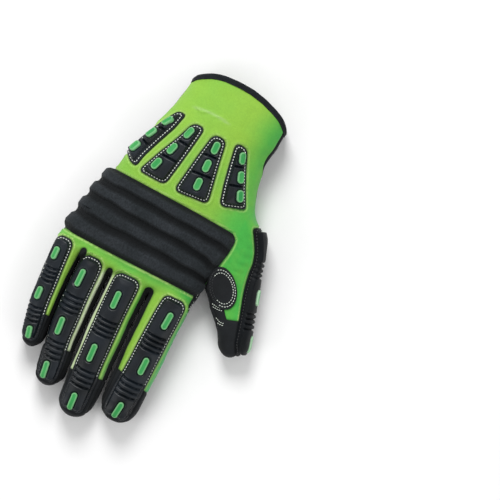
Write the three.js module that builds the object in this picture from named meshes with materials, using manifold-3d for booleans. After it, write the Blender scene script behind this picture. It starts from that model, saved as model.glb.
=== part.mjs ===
import * as THREE from 'three';
import { mergeVertices } from 'three/addons/utils/BufferGeometryUtils.js';
import Module from 'manifold-3d';

// Impact-guarded work glove for the right hand, lying palm down. All sizes are in millimetres.
// X runs across the hand with the thumb at +X, the fingers point along -Y, the back of the hand faces +Z.
// The hand is a set of rounded tubes: one for the palm and cuff, one for each finger and one for the thumb.
// Fabric panels are cut from the thin shell round these tubes, and guards are slabs laid on them.

const wasm = await Module();
wasm.setup();

// Driving dimensions
const FABRIC = 1.6;
const SEAM_GAP = 0.3;
const GUARD_SEAT = 0.45;
const FLANGE = 1.3;
const GUARD_RISE = 3.4;
const SUNK = -1.5;
const TAB_GAP = 0.3;
const TAB_THICKNESS = 0.9;
const TAB_BASE = GUARD_SEAT + FLANGE + GUARD_RISE + TAB_GAP;
const RIB_FLANGE = 0.9;
const RIB_RISE = 4;
const PATCH_THICKNESS = 1.2;
const FLOOR_OF_FABRIC = PATCH_THICKNESS + SEAM_GAP;
const BINDING_WIDTH = 4;
const BINDING_PROUD = 0.9;
const REACH = 200;
const SMOOTHING = 0.15;
const CUTTER_MARGIN = 0.35;
const MERGE_WITHIN = 1e-4;
const DOME_TURNS = [40, 74];

// Section exponents: the top of each tube is round, the underside is flatter
const TOP_ROUNDNESS = 0.9;
const UNDERSIDE_ROUNDNESS = 0.62;

const COLOURS = {
  lime: 0x91cd46,
  tab: 0x4bb95a,
  fabricBlack: 0x24272c,
  guardBlack: 0x1e2227,
  bindingBlack: 0x1b1d20,
};

const radians = THREE.MathUtils.degToRad;

function table(columns, rows) {
  return rows.map((row) => Object.fromEntries(columns.map((name, i) => [name, row[i]])));
}

// Reads a table at one place along the hand. Rows run from the cuff towards the fingertips.
function readAt(rows, at, name) {
  const after = rows.findIndex((row) => row.at <= at);
  if (after === 0) return rows[0][name];
  if (after < 0) return rows[rows.length - 1][name];
  const share = (rows[after - 1].at - at) / (rows[after - 1].at - rows[after].at);
  return THREE.MathUtils.lerp(rows[after - 1][name], rows[after][name], share);
}

function signedPower(value, exponent) {
  return Math.sign(value) * Math.abs(value) ** exponent;
}

// A rounded tube through a table of sections, with a domed end towards the fingertip.
class Tube {
  constructor({ sections, dome, sides, lowest = -REACH, place }) {
    this.sections = sections;
    this.dome = dome;
    this.sides = sides;
    this.lowest = lowest;
    this.place = place ?? ((across, along, up) => new THREE.Vector3(across, along, up));
  }

  section(at, grow) {
    const { start, end } = this.dome;
    const past = THREE.MathUtils.clamp((start - at) / (start - end), 0, 1);
    const turn = Math.asin(past);
    const shrink = Math.cos(turn);
    const [left, right, bottom, top] = ['left', 'right', 'bottom', 'top'].map((name) => readAt(this.sections, at, name));
    return {
      along: past > 0 ? start - (start - end + grow) * Math.sin(turn) : at,
      middle: (left + right) / 2,
      centre: (bottom + top) / 2,
      halfWidth: ((right - left) / 2 + grow) * shrink,
      halfHeight: ((top - bottom) / 2 + grow) * shrink,
    };
  }

  // Angle 0 is the +X side, 90 degrees the back of the hand, 270 degrees the palm side.
  point(at, angle, grow) {
    const s = this.section(at, grow);
    const roundness = Math.sin(angle) >= 0 ? TOP_ROUNDNESS : UNDERSIDE_ROUNDNESS;
    const across = s.middle + s.halfWidth * signedPower(Math.cos(angle), roundness);
    const up = s.centre + s.halfHeight * signedPower(Math.sin(angle), roundness);
    return this.place(across, s.along, Math.max(up, this.lowest - grow));
  }

  // The angle at which the grown surface stands at one place across, on the back or on the palm side.
  angleOf(at, across, grow, palmSide = false) {
    const s = this.section(at, grow);
    const share = THREE.MathUtils.clamp((across - s.middle) / s.halfWidth, -1, 1);
    const roundness = palmSide ? UNDERSIDE_ROUNDNESS : TOP_ROUNDNESS;
    const angle = Math.acos(signedPower(share, 1 / roundness));
    return palmSide ? 2 * Math.PI - angle : angle;
  }

  // The place in the section table whose ring, once grown, lies at one place along.
  placeOf(along, grow) {
    const { start, end } = this.dome;
    return along >= start ? along : start - ((start - along) * (start - end)) / (start - end + grow);
  }

  solid(grow) {
    const { start, end } = this.dome;
    const stops = this.sections.map((row) => row.at).filter((at) => at >= start);
    DOME_TURNS.forEach((turn) => stops.push(start - (start - end) * Math.sin(radians(turn))));
    const rings = stops.map((at) => {
      const ring = [];
      for (let i = 0; i < this.sides; i++) ring.push(this.point(at, (2 * Math.PI * i) / this.sides, grow));
      return ring;
    });
    return solidFrom(loftGeometry(rings));
  }
}

function indexedGeometry(points, index) {
  const geometry = new THREE.BufferGeometry();
  geometry.setAttribute('position', new THREE.Float32BufferAttribute(points.flatMap((p) => [p.x, p.y, p.z]), 3));
  geometry.setIndex(index);
  return geometry;
}

// Rings of equal length, joined into one closed skin with flat ends.
function loftGeometry(rings) {
  const count = rings[0].length;
  const index = [];
  for (let r = 0; r + 1 < rings.length; r++) {
    for (let i = 0; i < count; i++) {
      const next = (i + 1) % count;
      const [a, b, c, d] = [r * count + i, r * count + next, (r + 1) * count + next, (r + 1) * count + i];
      index.push(a, c, d, a, b, c);
    }
  }
  const last = (rings.length - 1) * count;
  for (let i = 1; i + 1 < count; i++) {
    index.push(0, i + 1, i);
    index.push(last, last + i, last + i + 1);
  }
  return indexedGeometry(rings.flat(), index);
}

// A closed slab between an upper and a lower grid of points.
function slabGeometry(upper, lower) {
  const rows = upper.length;
  const columns = upper[0].length;
  const place = (r, c, below) => (below ? rows * columns : 0) + r * columns + c;
  const index = [];
  for (let r = 0; r + 1 < rows; r++) {
    for (let c = 0; c + 1 < columns; c++) {
      index.push(place(r, c), place(r + 1, c + 1), place(r, c + 1), place(r, c), place(r + 1, c), place(r + 1, c + 1));
      index.push(place(r, c, 1), place(r, c + 1, 1), place(r + 1, c + 1, 1));
      index.push(place(r, c, 1), place(r + 1, c + 1, 1), place(r + 1, c, 1));
    }
  }
  const wall = (r0, c0, r1, c1) => {
    index.push(place(r0, c0), place(r1, c1), place(r1, c1, 1), place(r0, c0), place(r1, c1, 1), place(r0, c0, 1));
  };
  for (let c = 0; c + 1 < columns; c++) {
    wall(0, c, 0, c + 1);
    wall(rows - 1, c + 1, rows - 1, c);
  }
  for (let r = 0; r + 1 < rows; r++) {
    wall(r, columns - 1, r + 1, columns - 1);
    wall(r + 1, 0, r, 0);
  }
  return indexedGeometry([...upper.flat(), ...lower.flat()], index);
}

function solidFrom(geometry) {
  const bare = geometry.clone();
  bare.deleteAttribute('normal');
  bare.deleteAttribute('uv');
  const merged = mergeVertices(bare, MERGE_WITHIN);
  return new wasm.Manifold(new wasm.Mesh({
    numProp: 3,
    vertProperties: new Float32Array(merged.attributes.position.array),
    triVerts: new Uint32Array(merged.index.array),
  }));
}

function geometryFrom(solid) {
  const mesh = solid.simplify(SMOOTHING).getMesh();
  const geometry = new THREE.BufferGeometry();
  geometry.setAttribute('position', new THREE.BufferAttribute(mesh.vertProperties, 3));
  geometry.setIndex(new THREE.BufferAttribute(mesh.triVerts, 1));
  return geometry;
}

// Leaves out slivers that a cut along a wall can split off.
function withoutOffcuts(solid) {
  return solid.decompose().reduce((largest, body) => (body.volume() > largest.volume() ? body : largest));
}

function union(solids) {
  return solids.reduce((whole, next) => whole.add(next));
}

// A block seen as an outline in plan, from one height to another.
function planBlock(points, low = -REACH, high = REACH) {
  const shape = new THREE.Shape(points.map(([x, y]) => new THREE.Vector2(x, y)));
  const block = new THREE.ExtrudeGeometry(shape, { depth: high - low, bevelEnabled: false });
  return solidFrom(block.translate(0, 0, low));
}

// The space above (or below) a line of heights drawn along the hand.
function spaceBeside(line, shift, above) {
  const edge = line.map(({ at, up }) => new THREE.Vector2(at, up + shift));
  const far = above ? REACH : -REACH;
  edge.push(new THREE.Vector2(line[line.length - 1].at, far), new THREE.Vector2(line[0].at, far));
  const block = new THREE.ExtrudeGeometry(new THREE.Shape(edge), { depth: 2 * REACH, bevelEnabled: false });
  block.rotateX(Math.PI / 2).rotateZ(Math.PI / 2).translate(-REACH, 0, 0);
  return solidFrom(block);
}

// Hand tubes
const SECTION = ['at', 'left', 'right', 'bottom', 'top'];

const palm = new Tube({
  sections: table(SECTION, [
    [134, -30, 42, -1, 41],
    [116, -31, 43, -1, 42],
    [100, -34, 42.4, -1, 42],
    [85, -38, 40.2, -1, 41.5],
    [64, -45.3, 43.3, -1.5, 42],
    [50, -50, 48, -1.5, 41.5],
    [37, -52.6, 50, -1.5, 40],
    [20, -57.4, 47, -1.5, 37.5],
    [5, -60.6, 42.5, -1.5, 34.5],
    [-8, -62.8, 39, -1.5, 32],
    [-21, -67, 37.6, -1, 30],
  ]),
  dome: { start: -21, end: -31 },
  sides: 24,
  lowest: FLOOR_OF_FABRIC,
});

const fingers = {
  little: new Tube({
    sections: table(SECTION, [
      [0, -58, -48, 6, 26],
      [-22, -67.6, -48.2, 2.2, 26],
      [-45, -67.6, -47.6, 3.2, 25.5],
      [-60, -66.2, -47.3, 3.5, 25],
      [-76, -64.2, -46, 3, 23.5],
      [-89, -61.6, -45.2, 2, 21.5],
    ]),
    dome: { start: -89, end: -100 },
    sides: 12,
  }),
  ring: new Tube({
    sections: table(SECTION, [
      [0, -45, -27, 6, 28],
      [-24, -46.8, -24.8, 2.2, 28.5],
      [-48, -46.6, -24.5, 3.5, 28],
      [-70, -45.8, -24, 4.2, 27],
      [-92, -44, -22.8, 3.5, 24.5],
      [-107, -42.9, -21.4, 2, 22.5],
    ]),
    dome: { start: -107, end: -119.5 },
    sides: 12,
  }),
  middle: new Tube({
    sections: table(SECTION, [
      [0, -21, 3, 6, 29],
      [-26, -23.6, 5.3, 2.2, 29.5],
      [-50, -23.6, 5, 3.5, 29],
      [-78, -22.8, 5.6, 4.5, 27.5],
      [-100, -21, 6.2, 3.8, 25.5],
      [-117, -19.6, 6.4, 2.2, 23.5],
    ]),
    dome: { start: -117, end: -131.3 },
    sides: 12,
  }),
  index: new Tube({
    sections: table(SECTION, [
      [0, 9, 33, 6, 28],
      [-24, 6.5, 36.6, 2.2, 28.5],
      [-50, 6.2, 36, 3.5, 28],
      [-75, 6.9, 35.8, 4.2, 26.5],
      [-92, 7.3, 35.6, 3.5, 25],
      [-108, 8.3, 34.8, 2, 22.5],
    ]),
    dome: { start: -108, end: -121 },
    sides: 12,
  }),
};

// The thumb has a line of its own: `at` counts back from its tip.
const THUMB_TIP = { x: 78, y: -46.5 };
const THUMB_SPLAY = radians(19);

function thumbPlace(across, along, up) {
  return new THREE.Vector3(
    THUMB_TIP.x + Math.cos(THUMB_SPLAY) * across - Math.sin(THUMB_SPLAY) * along,
    THUMB_TIP.y + Math.sin(THUMB_SPLAY) * across + Math.cos(THUMB_SPLAY) * along,
    up,
  );
}

const thumb = new Tube({
  sections: table(SECTION, [
    [108, -24, -5, 5, 32],
    [98, -24, 4, 3, 34.5],
    [91, -24, 8.6, 2.2, 35],
    [82, -25, 10.2, 2.2, 34],
    [72, -26, 10.2, 2.2, 33],
    [60, -26.5, 9.2, 2.2, 31],
    [48, -25, 8.8, 2.2, 28.5],
    [40, -21.5, 8.4, 2.2, 27.5],
    [32, -18.5, 8.3, 2.2, 26.5],
    [26, -15.6, 8.1, 2.2, 26],
    [20, -12.9, 7.8, 2.2, 25.5],
    [12, -10.8, 7.1, 2.2, 24.5],
  ]),
  dome: { start: 12, end: 1 },
  sides: 14,
  place: thumbPlace,
});

const tubes = [palm, ...Object.values(fingers), thumb];
const hand = (grow) => union(tubes.map((tube) => tube.solid(grow)));
const shell = hand(0).subtract(hand(-FABRIC));
const handAndGap = hand(SEAM_GAP);

// Cut lines of the fabric
const SIDE_SEAM = table(['at', 'up'], [
  [140, 21],
  [60, 21],
  [20, 17],
  [-10, 14],
  [-35, 11.5],
  [-70, 11.5],
  [-100, 10.5],
  [-140, 10],
]);

const CUFF_RIM = table(['x', 'at'], [
  [-48, 101],
  [-31, 116],
  [-20, 126],
  [-10, 128],
  [0, 128.5],
  [10, 127.5],
  [20, 125],
  [30, 121.5],
  [38, 117.5],
  [43, 111],
  [56, 91],
]);

function acrossRim(shift) {
  const outline = CUFF_RIM.map(({ x, at }) => [x, at + shift]);
  return [...outline, [REACH, -REACH], [-REACH, -REACH]];
}

const TIP_CUTS = { little: -76, ring: -92, middle: -100, index: -90 };
const THUMB_TIP_CUT = 26;

// Strips between the fingers, seen from above: left and right edge at each place
const STRIPS = {
  little_ring: table(['at', 'left', 'right'], [
    [-22, -47.8, -46.4],
    [-24, -49, -44.6],
    [-50, -49.8, -44],
    [-95, -48, -41.4],
  ]),
  ring_middle: table(['at', 'left', 'right'], [
    [-27, -25.4, -23],
    [-29, -27.4, -21.2],
    [-60, -27, -20.8],
    [-104, -24.5, -18.5],
  ]),
  middle_index: table(['at', 'left', 'right'], [
    [-27, 4.8, 7],
    [-29, 2.6, 8.8],
    [-60, 2.6, 8.8],
    [-102, 4, 10],
  ]),
};

function stripBlock(rows, grow) {
  const leftEdge = rows.map(({ at, left }, i) => [left - grow, at + (i === 0 ? grow : 0)]);
  const rightEdge = rows.map(({ at, right }, i) => [right + grow, at + (i === 0 ? grow : 0)]);
  return planBlock([...leftEdge, ...rightEdge.reverse()]);
}

function beyond(at, shift) {
  return planBlock([[-REACH, at + shift], [REACH, at + shift], [REACH, -REACH], [-REACH, -REACH]]);
}

function beyondOnThumb(at, shift) {
  const corners = [[-REACH, at + shift], [REACH, at + shift], [REACH, -REACH], [-REACH, -REACH]];
  const points = corners.map(([across, along]) => thumbPlace(across, along, 0));
  return planBlock(points.map((p) => [p.x, p.y]));
}

const HALF_GAP = SEAM_GAP / 2;
const aboveSeam = spaceBeside(SIDE_SEAM, HALF_GAP, true);
const belowSeam = spaceBeside(SIDE_SEAM, -HALF_GAP, false);
const bodyOfGlove = planBlock(acrossRim(-BINDING_WIDTH - SEAM_GAP));

const fingertips = Object.entries(TIP_CUTS).map(([finger, cut]) => ({
  name: `fingertip_${finger}`,
  solid: fingers[finger].solid(0).subtract(fingers[finger].solid(-FABRIC)).intersect(beyond(cut, -HALF_GAP)),
  cutter: fingers[finger].solid(CUTTER_MARGIN).intersect(beyond(cut, HALF_GAP)),
}));
fingertips.push({
  name: 'thumb_tip',
  solid: thumb.solid(0).subtract(thumb.solid(-FABRIC)).intersect(beyondOnThumb(THUMB_TIP_CUT, -HALF_GAP)),
  cutter: thumb.solid(CUTTER_MARGIN).intersect(beyondOnThumb(THUMB_TIP_CUT, HALF_GAP)),
});

const tipCutters = union(fingertips.map(({ cutter }) => cutter));
const sleeve = shell.intersect(bodyOfGlove).subtract(tipCutters);
const stripCutters = union(Object.values(STRIPS).map((rows) => stripBlock(rows, HALF_GAP)));

// The fingers' sleeves start past the rounded end of the palm, the thumb's at the crotch beside the hand
const KNUCKLE_CUT = -31.5;
const THUMB_ROOT_CUT = 46;
const sleeveOf = Object.fromEntries(Object.entries(fingers).map(([finger, tube]) => {
  const ownSpace = tube.solid(CUTTER_MARGIN).intersect(beyond(KNUCKLE_CUT, -HALF_GAP));
  return [finger, sleeve.intersect(ownSpace)];
}));
const thumbSpace = (shift) => thumb.solid(CUTTER_MARGIN).intersect(beyondOnThumb(THUMB_ROOT_CUT, shift));
sleeveOf.thumb = sleeve.intersect(thumbSpace(-HALF_GAP));
const handSleeve = sleeve.subtract(beyond(KNUCKLE_CUT, HALF_GAP).subtract(thumb.solid(CUTTER_MARGIN)))
  .subtract(thumbSpace(HALF_GAP));

const backOf = (part) => withoutOffcuts(part.intersect(aboveSeam).subtract(stripCutters));
const undersideOf = (part) => withoutOffcuts(part.intersect(belowSeam));

const rimBand = planBlock(acrossRim(0)).subtract(planBlock(acrossRim(-BINDING_WIDTH)));
const cuffBinding = palm.solid(BINDING_PROUD).subtract(palm.solid(-FABRIC - BINDING_PROUD)).intersect(rimBand);

// Patch over the crotch of the thumb: an oval in plan, wrapped round the edge of the web
const SADDLE = { x: 51, y: -4.6, long: 15.2, short: 9.4, turn: radians(-52), points: 28, low: 5, thickness: 1.3 };

function ovalOutline({ x, y, long, short, turn, points }) {
  const outline = [];
  for (let i = 0; i < points; i++) {
    const a = (2 * Math.PI * i) / points;
    const [u, v] = [long * Math.cos(a), short * Math.sin(a)];
    outline.push([x + u * Math.cos(turn) - v * Math.sin(turn), y + u * Math.sin(turn) + v * Math.cos(turn)]);
  }
  return outline;
}

const web = (grow) => union([palm, fingers.index, thumb].map((tube) => tube.solid(grow)));
const saddlePatch = web(SEAM_GAP + SADDLE.thickness)
  .subtract(web(CUTTER_MARGIN))
  .intersect(planBlock(ovalOutline(SADDLE), SADDLE.low));

// Slabs laid on a tube. Each row gives where its left and right ends lie and how much of the rise it has.
const SLAB_ROW = ['atLeft', 'left', 'atRight', 'right', 'lift'];

function drapedSlab({ tube, rows, profile, seat, flange, rise, palmSide = false, base = seat }) {
  const rim = seat + flange;
  const grid = (heightOf) => rows.map((row) => {
    const [atLeft, atRight] = [tube.placeOf(row.atLeft, rim), tube.placeOf(row.atRight, rim)];
    const from = row.angleLeft ?? tube.angleOf(atLeft, row.left, rim, palmSide);
    const to = row.angleRight ?? tube.angleOf(atRight, row.right, rim, palmSide);
    return profile.map(({ share, lift }) => {
      const at = THREE.MathUtils.lerp(atLeft, atRight, share);
      const angle = THREE.MathUtils.lerp(from, to, share);
      return tube.point(at, angle, heightOf(row.lift * lift));
    });
  });
  const upper = grid((lift) => rim + rise * lift);
  const lower = grid(() => base);
  return palmSide ? slabGeometry(lower, upper) : slabGeometry(upper, lower);
}

const GUARD_PROFILE = table(['share', 'lift'], [
  [0, 0],
  [0.1, 0],
  [0.2, 0.75],
  [0.5, 1],
  [0.8, 0.75],
  [0.9, 0],
  [1, 0],
]);

// Edges of each finger guard, where its flex grooves lie and where its three tabs sit
const FINGER_GUARDS = {
  little: {
    top: -20.5,
    end: -97.5,
    edges: table(['at', 'left', 'right'], [
      [-20, -67.4, -55.3],
      [-60, -65.8, -54.3],
      [-76, -64, -52.8],
      [-100, -60.5, -50.5],
    ]),
    flex: [[-43, -55], [-71.5, -83]],
    tabs: [[-64, -33.5, 0], [-62, -63, 2], [-56.5, -91.5, 12]],
    tabSize: [4, 9.3],
  },
  ring: {
    top: -24,
    end: -117.5,
    edges: table(['at', 'left', 'right'], [
      [-24, -46, -30],
      [-60, -45.2, -30.3],
      [-80, -44, -29.8],
      [-93, -42.4, -28],
      [-120, -40, -25.5],
    ]),
    flex: [[-54, -67], [-87, -100.5]],
    tabs: [[-41, -41, 0], [-39, -77, 4], [-35, -110, 6]],
    tabSize: [4.2, 12.8],
  },
  middle: {
    top: -25.5,
    end: -128.3,
    edges: table(['at', 'left', 'right'], [
      [-25, -20, -1],
      [-80, -19, -1.4],
      [-100, -17.6, -0.5],
      [-131, -15.5, 0.5],
    ]),
    flex: [[-59, -72], [-97.5, -110]],
    tabs: [[-12, -44.5, 0], [-11, -84.5, 2], [-8.3, -120, 4]],
    tabSize: [4.4, 13],
  },
  index: {
    top: -25,
    end: -119,
    edges: table(['at', 'left', 'right'], [
      [-25, 16.4, 33.6],
      [-50, 15.6, 33],
      [-75, 15, 32.6],
      [-93, 14, 32],
      [-122, 13.5, 30.5],
    ]),
    flex: [[-53.5, -67], [-89, -103]],
    tabs: [[26, -41.5, 0], [25.3, -78, -1], [22.6, -112, -4]],
    tabSize: [4.4, 12.8],
  },
};

const GUARD_TOP = table(['back', 'inset', 'lift'], [[0, 4.4, 0], [1.2, 1.6, 0], [3.2, 0, 0.85]]);
const GUARD_END = table(['back', 'lift'], [[6, 0.95], [2, 0.7], [0, 0.2]]);
const FLEX_LIFT = 0.45;
const FLEX_SLOPE = 1.5;

function fingerGuardRows({ top, end, edges, flex }) {
  const rows = [];
  const add = (at, lift, inset = 0) => rows.push({
    atLeft: at,
    left: readAt(edges, at, 'left') + inset,
    atRight: at,
    right: readAt(edges, at, 'right') - inset,
    lift,
  });
  GUARD_TOP.forEach(({ back, inset, lift }) => add(top - back, lift, inset));
  flex.forEach(([first, last]) => {
    add(first + FLEX_SLOPE, 1);
    add(first, FLEX_LIFT);
    add(last, FLEX_LIFT);
    add(last - FLEX_SLOPE, 1);
  });
  GUARD_END.forEach(({ back, lift }) => add(end + back, lift));
  return rows;
}

// A small green block standing on a guard: a rounded oblong, leaning by a few degrees
const TAB_OUTLINE = table(['along', 'wide', 'lift'], [
  [0.5, 0.5, 0.6],
  [0.36, 1, 1],
  [-0.36, 1, 1],
  [-0.5, 0.5, 0.6],
]);
const TAB_PROFILE = table(['share', 'lift'], [[0, 0.6], [0.5, 1], [1, 0.6]]);

function tabGeometry({ tube, x, at, lean, size: [width, length], base }) {
  const rows = TAB_OUTLINE.map(({ along, wide, lift }) => {
    const place = at + along * length;
    const middle = x - along * length * Math.tan(radians(lean));
    const half = (width / 2) * wide;
    return { atLeft: place, left: middle - half, atRight: place, right: middle + half, lift };
  });
  return drapedSlab({ tube, rows, profile: TAB_PROFILE, seat: base, flange: 0, rise: TAB_THICKNESS });
}

// Guards on the back of the hand: corners of four tapered blocks that fan out from the wrist
const HAND_GUARDS = {
  little: {
    rows: table(SLAB_ROW, [
      [91, -31.5, 91, -28, 0],
      [88.5, -33.8, 89, -25.8, 0],
      [86, -35, 86, -26.3, 0.85],
      [77.5, -39.3, 76.5, -29.6, 1],
      [76, -40, 75, -30.2, 0.4],
      [74.5, -40.7, 73.5, -30.8, 1],
      [65.5, -45, 62.8, -34.6, 1],
      [64, -45.6, 61.3, -35.2, 0.4],
      [62.5, -46.3, 59.8, -35.8, 1],
      [55, -49.6, 51, -38.6, 0.85],
      [52.5, -50.5, 48.6, -41, 0],
      [50.5, -49.5, 47.2, -44, 0],
    ]),
    tabs: [[-35, 82.5, -30], [-41, 70.5, -28], [-46.4, 58, -22]],
    tabSize: [4.6, 8.5],
  },
  ring: {
    rows: table(SLAB_ROW, [
      [90, -16.5, 90, -11.5, 0],
      [88, -18.6, 88, -9.4, 0],
      [85, -19.8, 85, -9.3, 0.85],
      [75, -24.2, 74.5, -10.8, 1],
      [73.5, -24.9, 73, -11, 0.4],
      [72, -25.5, 71.5, -11.3, 1],
      [62.5, -29.6, 62, -12.9, 1],
      [61, -30.2, 60.5, -13.2, 0.4],
      [59.5, -30.9, 59, -13.4, 1],
      [48, -35.8, 47, -15.4, 0.85],
      [45.5, -36.6, 44.3, -16.6, 0],
      [43.5, -33.5, 42.8, -20, 0],
    ]),
    tabs: [[-17, 81, -18], [-22.8, 66.8, -18], [-28, 52.8, -15]],
    tabSize: [5.4, 9.4],
  },
  middle: {
    rows: table(SLAB_ROW, [
      [88.5, 1, 88.5, 7, 0],
      [86.5, -1.4, 86.5, 9.2, 0],
      [83, -2, 83, 9.6, 0.85],
      [74.5, -3.7, 74.5, 11.1, 1],
      [73, -4, 73, 11.3, 0.4],
      [71.5, -4.3, 71.5, 11.5, 1],
      [61.5, -6.2, 61.5, 13.3, 1],
      [60, -6.4, 60, 13.6, 0.4],
      [58.5, -6.7, 58.5, 13.8, 1],
      [47.5, -8.6, 48.5, 15.3, 0.85],
      [44.6, -8, 45.8, 14.6, 0],
      [42.6, -4.5, 43.6, 11, 0],
    ]),
    tabs: [[4.5, 80, 0], [4, 66.3, 0], [4, 52.8, 0]],
    tabSize: [5, 8.8],
  },
  index: {
    rows: table(SLAB_ROW, [
      [90, 18.2, 90, 22.8, 0],
      [88, 16.6, 88, 24.6, 0],
      [85, 16.2, 85, 26, 0.85],
      [76, 18.2, 78, 29.6, 1],
      [74.5, 18.5, 76.6, 30.2, 0.4],
      [73, 18.8, 75, 30.9, 1],
      [63.3, 20.4, 65, 35.4, 1],
      [61.8, 20.7, 63.6, 36, 0.4],
      [60.3, 21, 62, 36.7, 1],
      [51, 22.6, 55, 40.2, 0.85],
      [48.4, 24, 52.6, 41, 0],
      [46.8, 27, 50.8, 38.8, 0],
    ]),
    tabs: [[24, 81.8, 18], [29, 69.8, 20], [34, 57.8, 20]],
    tabSize: [5.2, 8.4],
  },
};

// Knuckle pad: four rounded ribs across the hand
const PAD_PROFILE = table(['share', 'lift'], [
  [0, 0],
  [0.05, 0.3],
  [0.13, 0.85],
  [0.25, 1],
  [0.37, 1],
  [0.5, 1],
  [0.63, 1],
  [0.75, 1],
  [0.87, 0.95],
  [0.95, 0.5],
  [1, 0],
]);
const PAD_CREASES = table(['atLeft', 'left', 'atRight', 'right'], [
  [37, -55, 32.4, 40.5],
  [25, -59, 20.4, 44.3],
  [13.4, -61.5, 8, 41.6],
  [-0.6, -64, -3.5, 39],
  [-14.6, -66, -17.8, 36.6],
]);
const RIB_SHAPE = table(['share', 'lift'], [[0.16, 0.72], [0.5, 1], [0.84, 0.72]]);
const CREASE_LIFT = 0.22;

function padRows() {
  const rows = [];
  const between = (a, b, share) => Object.fromEntries(
    Object.keys(a).map((name) => [name, THREE.MathUtils.lerp(a[name], b[name], share)]),
  );
  PAD_CREASES.forEach((crease, i) => {
    const atRim = i === 0 || i === PAD_CREASES.length - 1;
    rows.push({ ...crease, lift: atRim ? 0 : CREASE_LIFT });
    const next = PAD_CREASES[i + 1];
    if (next) RIB_SHAPE.forEach(({ share, lift }) => rows.push({ ...between(crease, next, share), lift }));
  });
  return rows;
}

// Grip patch on the palm, the face that the glove rests on
const PALM_PATCH = table(SLAB_ROW, [
  [45, -42, 45, -24, 1],
  [43.5, -45.4, 41.2, -6, 1],
  [40, -46.8, 37, 6, 1],
  [32, -49.6, 32, 10.6, 1],
  [24, -51, 24, 13.3, 1],
  [10, -53, 10, 15.8, 1],
  [-4, -53.6, -4, 19, 1],
  [-16, -54, -16, 23.8, 1],
  [-22, -52.6, -22, 25.4, 1],
  [-24.5, -48, -24.5, 22, 1],
]);
const PATCH_PROFILE = [0, 0.05, 0.16, 0.33, 0.5, 0.67, 0.84, 1].map((share) => ({ share, lift: 1 }));

// Guard along the outer side of the thumb
const THUMB_GUARD = {
  upper: table(['at', 'across'], [
    [93, 3.6],
    [86, 5.6],
    [79, 7.6],
    [72, 8],
    [65, 7],
    [58, 4.9],
    [51, 3.8],
    [42, 3],
    [27, 2.4],
    [10, 1.2],
    [0, 0.6],
  ]),
  lowerAngle: radians(-42),
  stops: table(['at', 'lift'], [
    [92, 0],
    [88.5, 0.4],
    [84, 0.9],
    [72, 1],
    [67, 1],
    [65.5, FLEX_LIFT],
    [58.5, FLEX_LIFT],
    [57, 1],
    [33.5, 1],
    [32, FLEX_LIFT],
    [22, FLEX_LIFT],
    [20.5, 1],
    [12, 1],
    [6, 0.85],
    [3, 0.5],
  ]),
  tabs: [[49.5, 24], [16, 20]],
  tabLength: 11.5,
  tabHalfAngle: radians(10),
};

function thumbGuardRows() {
  return THUMB_GUARD.stops.map(({ at, lift }) => ({
    atLeft: at,
    atRight: at,
    angleLeft: thumb.angleOf(at, readAt(THUMB_GUARD.upper, at, 'across'), GUARD_SEAT + FLANGE),
    angleRight: THUMB_GUARD.lowerAngle,
    lift,
  }));
}

function thumbTabGeometry([at, degrees]) {
  const { tabLength, tabHalfAngle } = THUMB_GUARD;
  const rows = TAB_OUTLINE.map(({ along, wide, lift }) => ({
    atLeft: at + along * tabLength,
    atRight: at + along * tabLength,
    angleLeft: radians(degrees) + wide * tabHalfAngle,
    angleRight: radians(degrees) - wide * tabHalfAngle,
    lift,
  }));
  return drapedSlab({ tube: thumb, rows, profile: TAB_PROFILE, seat: TAB_BASE, flange: 0, rise: TAB_THICKNESS });
}

// Materials and the assembled glove
const ROUGHNESS = { fabric: 0.85, rubber: 0.55 };
const finish = (color, roughness) => () => new THREE.MeshStandardMaterial({ color, roughness, metalness: 0 });
const material = {
  lime: finish(COLOURS.lime, ROUGHNESS.fabric),
  black: finish(COLOURS.fabricBlack, ROUGHNESS.fabric),
  guard: finish(COLOURS.guardBlack, ROUGHNESS.rubber),
  tab: finish(COLOURS.tab, ROUGHNESS.rubber),
  binding: finish(COLOURS.bindingBlack, ROUGHNESS.fabric),
};

const glove = new THREE.Group();

function addPiece(name, geometry, makeMaterial) {
  geometry.computeVertexNormals();
  const mesh = new THREE.Mesh(geometry, makeMaterial());
  mesh.name = name;
  glove.add(mesh);
}

addPiece('back_panel', geometryFrom(backOf(handSleeve)), material.lime);
addPiece('palm_panel', geometryFrom(undersideOf(handSleeve)), material.black);
for (const [finger, part] of Object.entries(sleeveOf)) {
  addPiece(`back_sleeve_${finger}`, geometryFrom(backOf(part)), material.lime);
  addPiece(`palm_sleeve_${finger}`, geometryFrom(undersideOf(part)), material.black);
}
addPiece('cuff_binding', geometryFrom(cuffBinding), material.binding);
addPiece('thumb_saddle_patch', geometryFrom(saddlePatch), material.black);

for (const [gap, rows] of Object.entries(STRIPS)) {
  const strip = sleeve.intersect(aboveSeam).intersect(stripBlock(rows, -HALF_GAP));
  addPiece(`fourchette_${gap}`, geometryFrom(withoutOffcuts(strip)), material.black);
}

for (const { name, solid } of fingertips) addPiece(name, geometryFrom(solid), material.black);

// Gives a slab that was drawn into the hand an underside that follows the fabric
function seated(slab) {
  return geometryFrom(withoutOffcuts(solidFrom(slab).subtract(handAndGap)));
}

const guardSizes = { profile: GUARD_PROFILE, seat: GUARD_SEAT, flange: FLANGE, rise: GUARD_RISE, base: SUNK };

for (const [finger, guard] of Object.entries(FINGER_GUARDS)) {
  const tube = fingers[finger];
  const slab = drapedSlab({ tube, rows: fingerGuardRows(guard), ...guardSizes });
  addPiece(`finger_guard_${finger}`, seated(slab), material.guard);
  guard.tabs.forEach(([x, at, lean], i) => {
    const tab = tabGeometry({ tube, x, at, lean, size: guard.tabSize, base: TAB_BASE });
    addPiece(`finger_tab_${finger}_${i + 1}`, tab, material.tab);
  });
}

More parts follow.
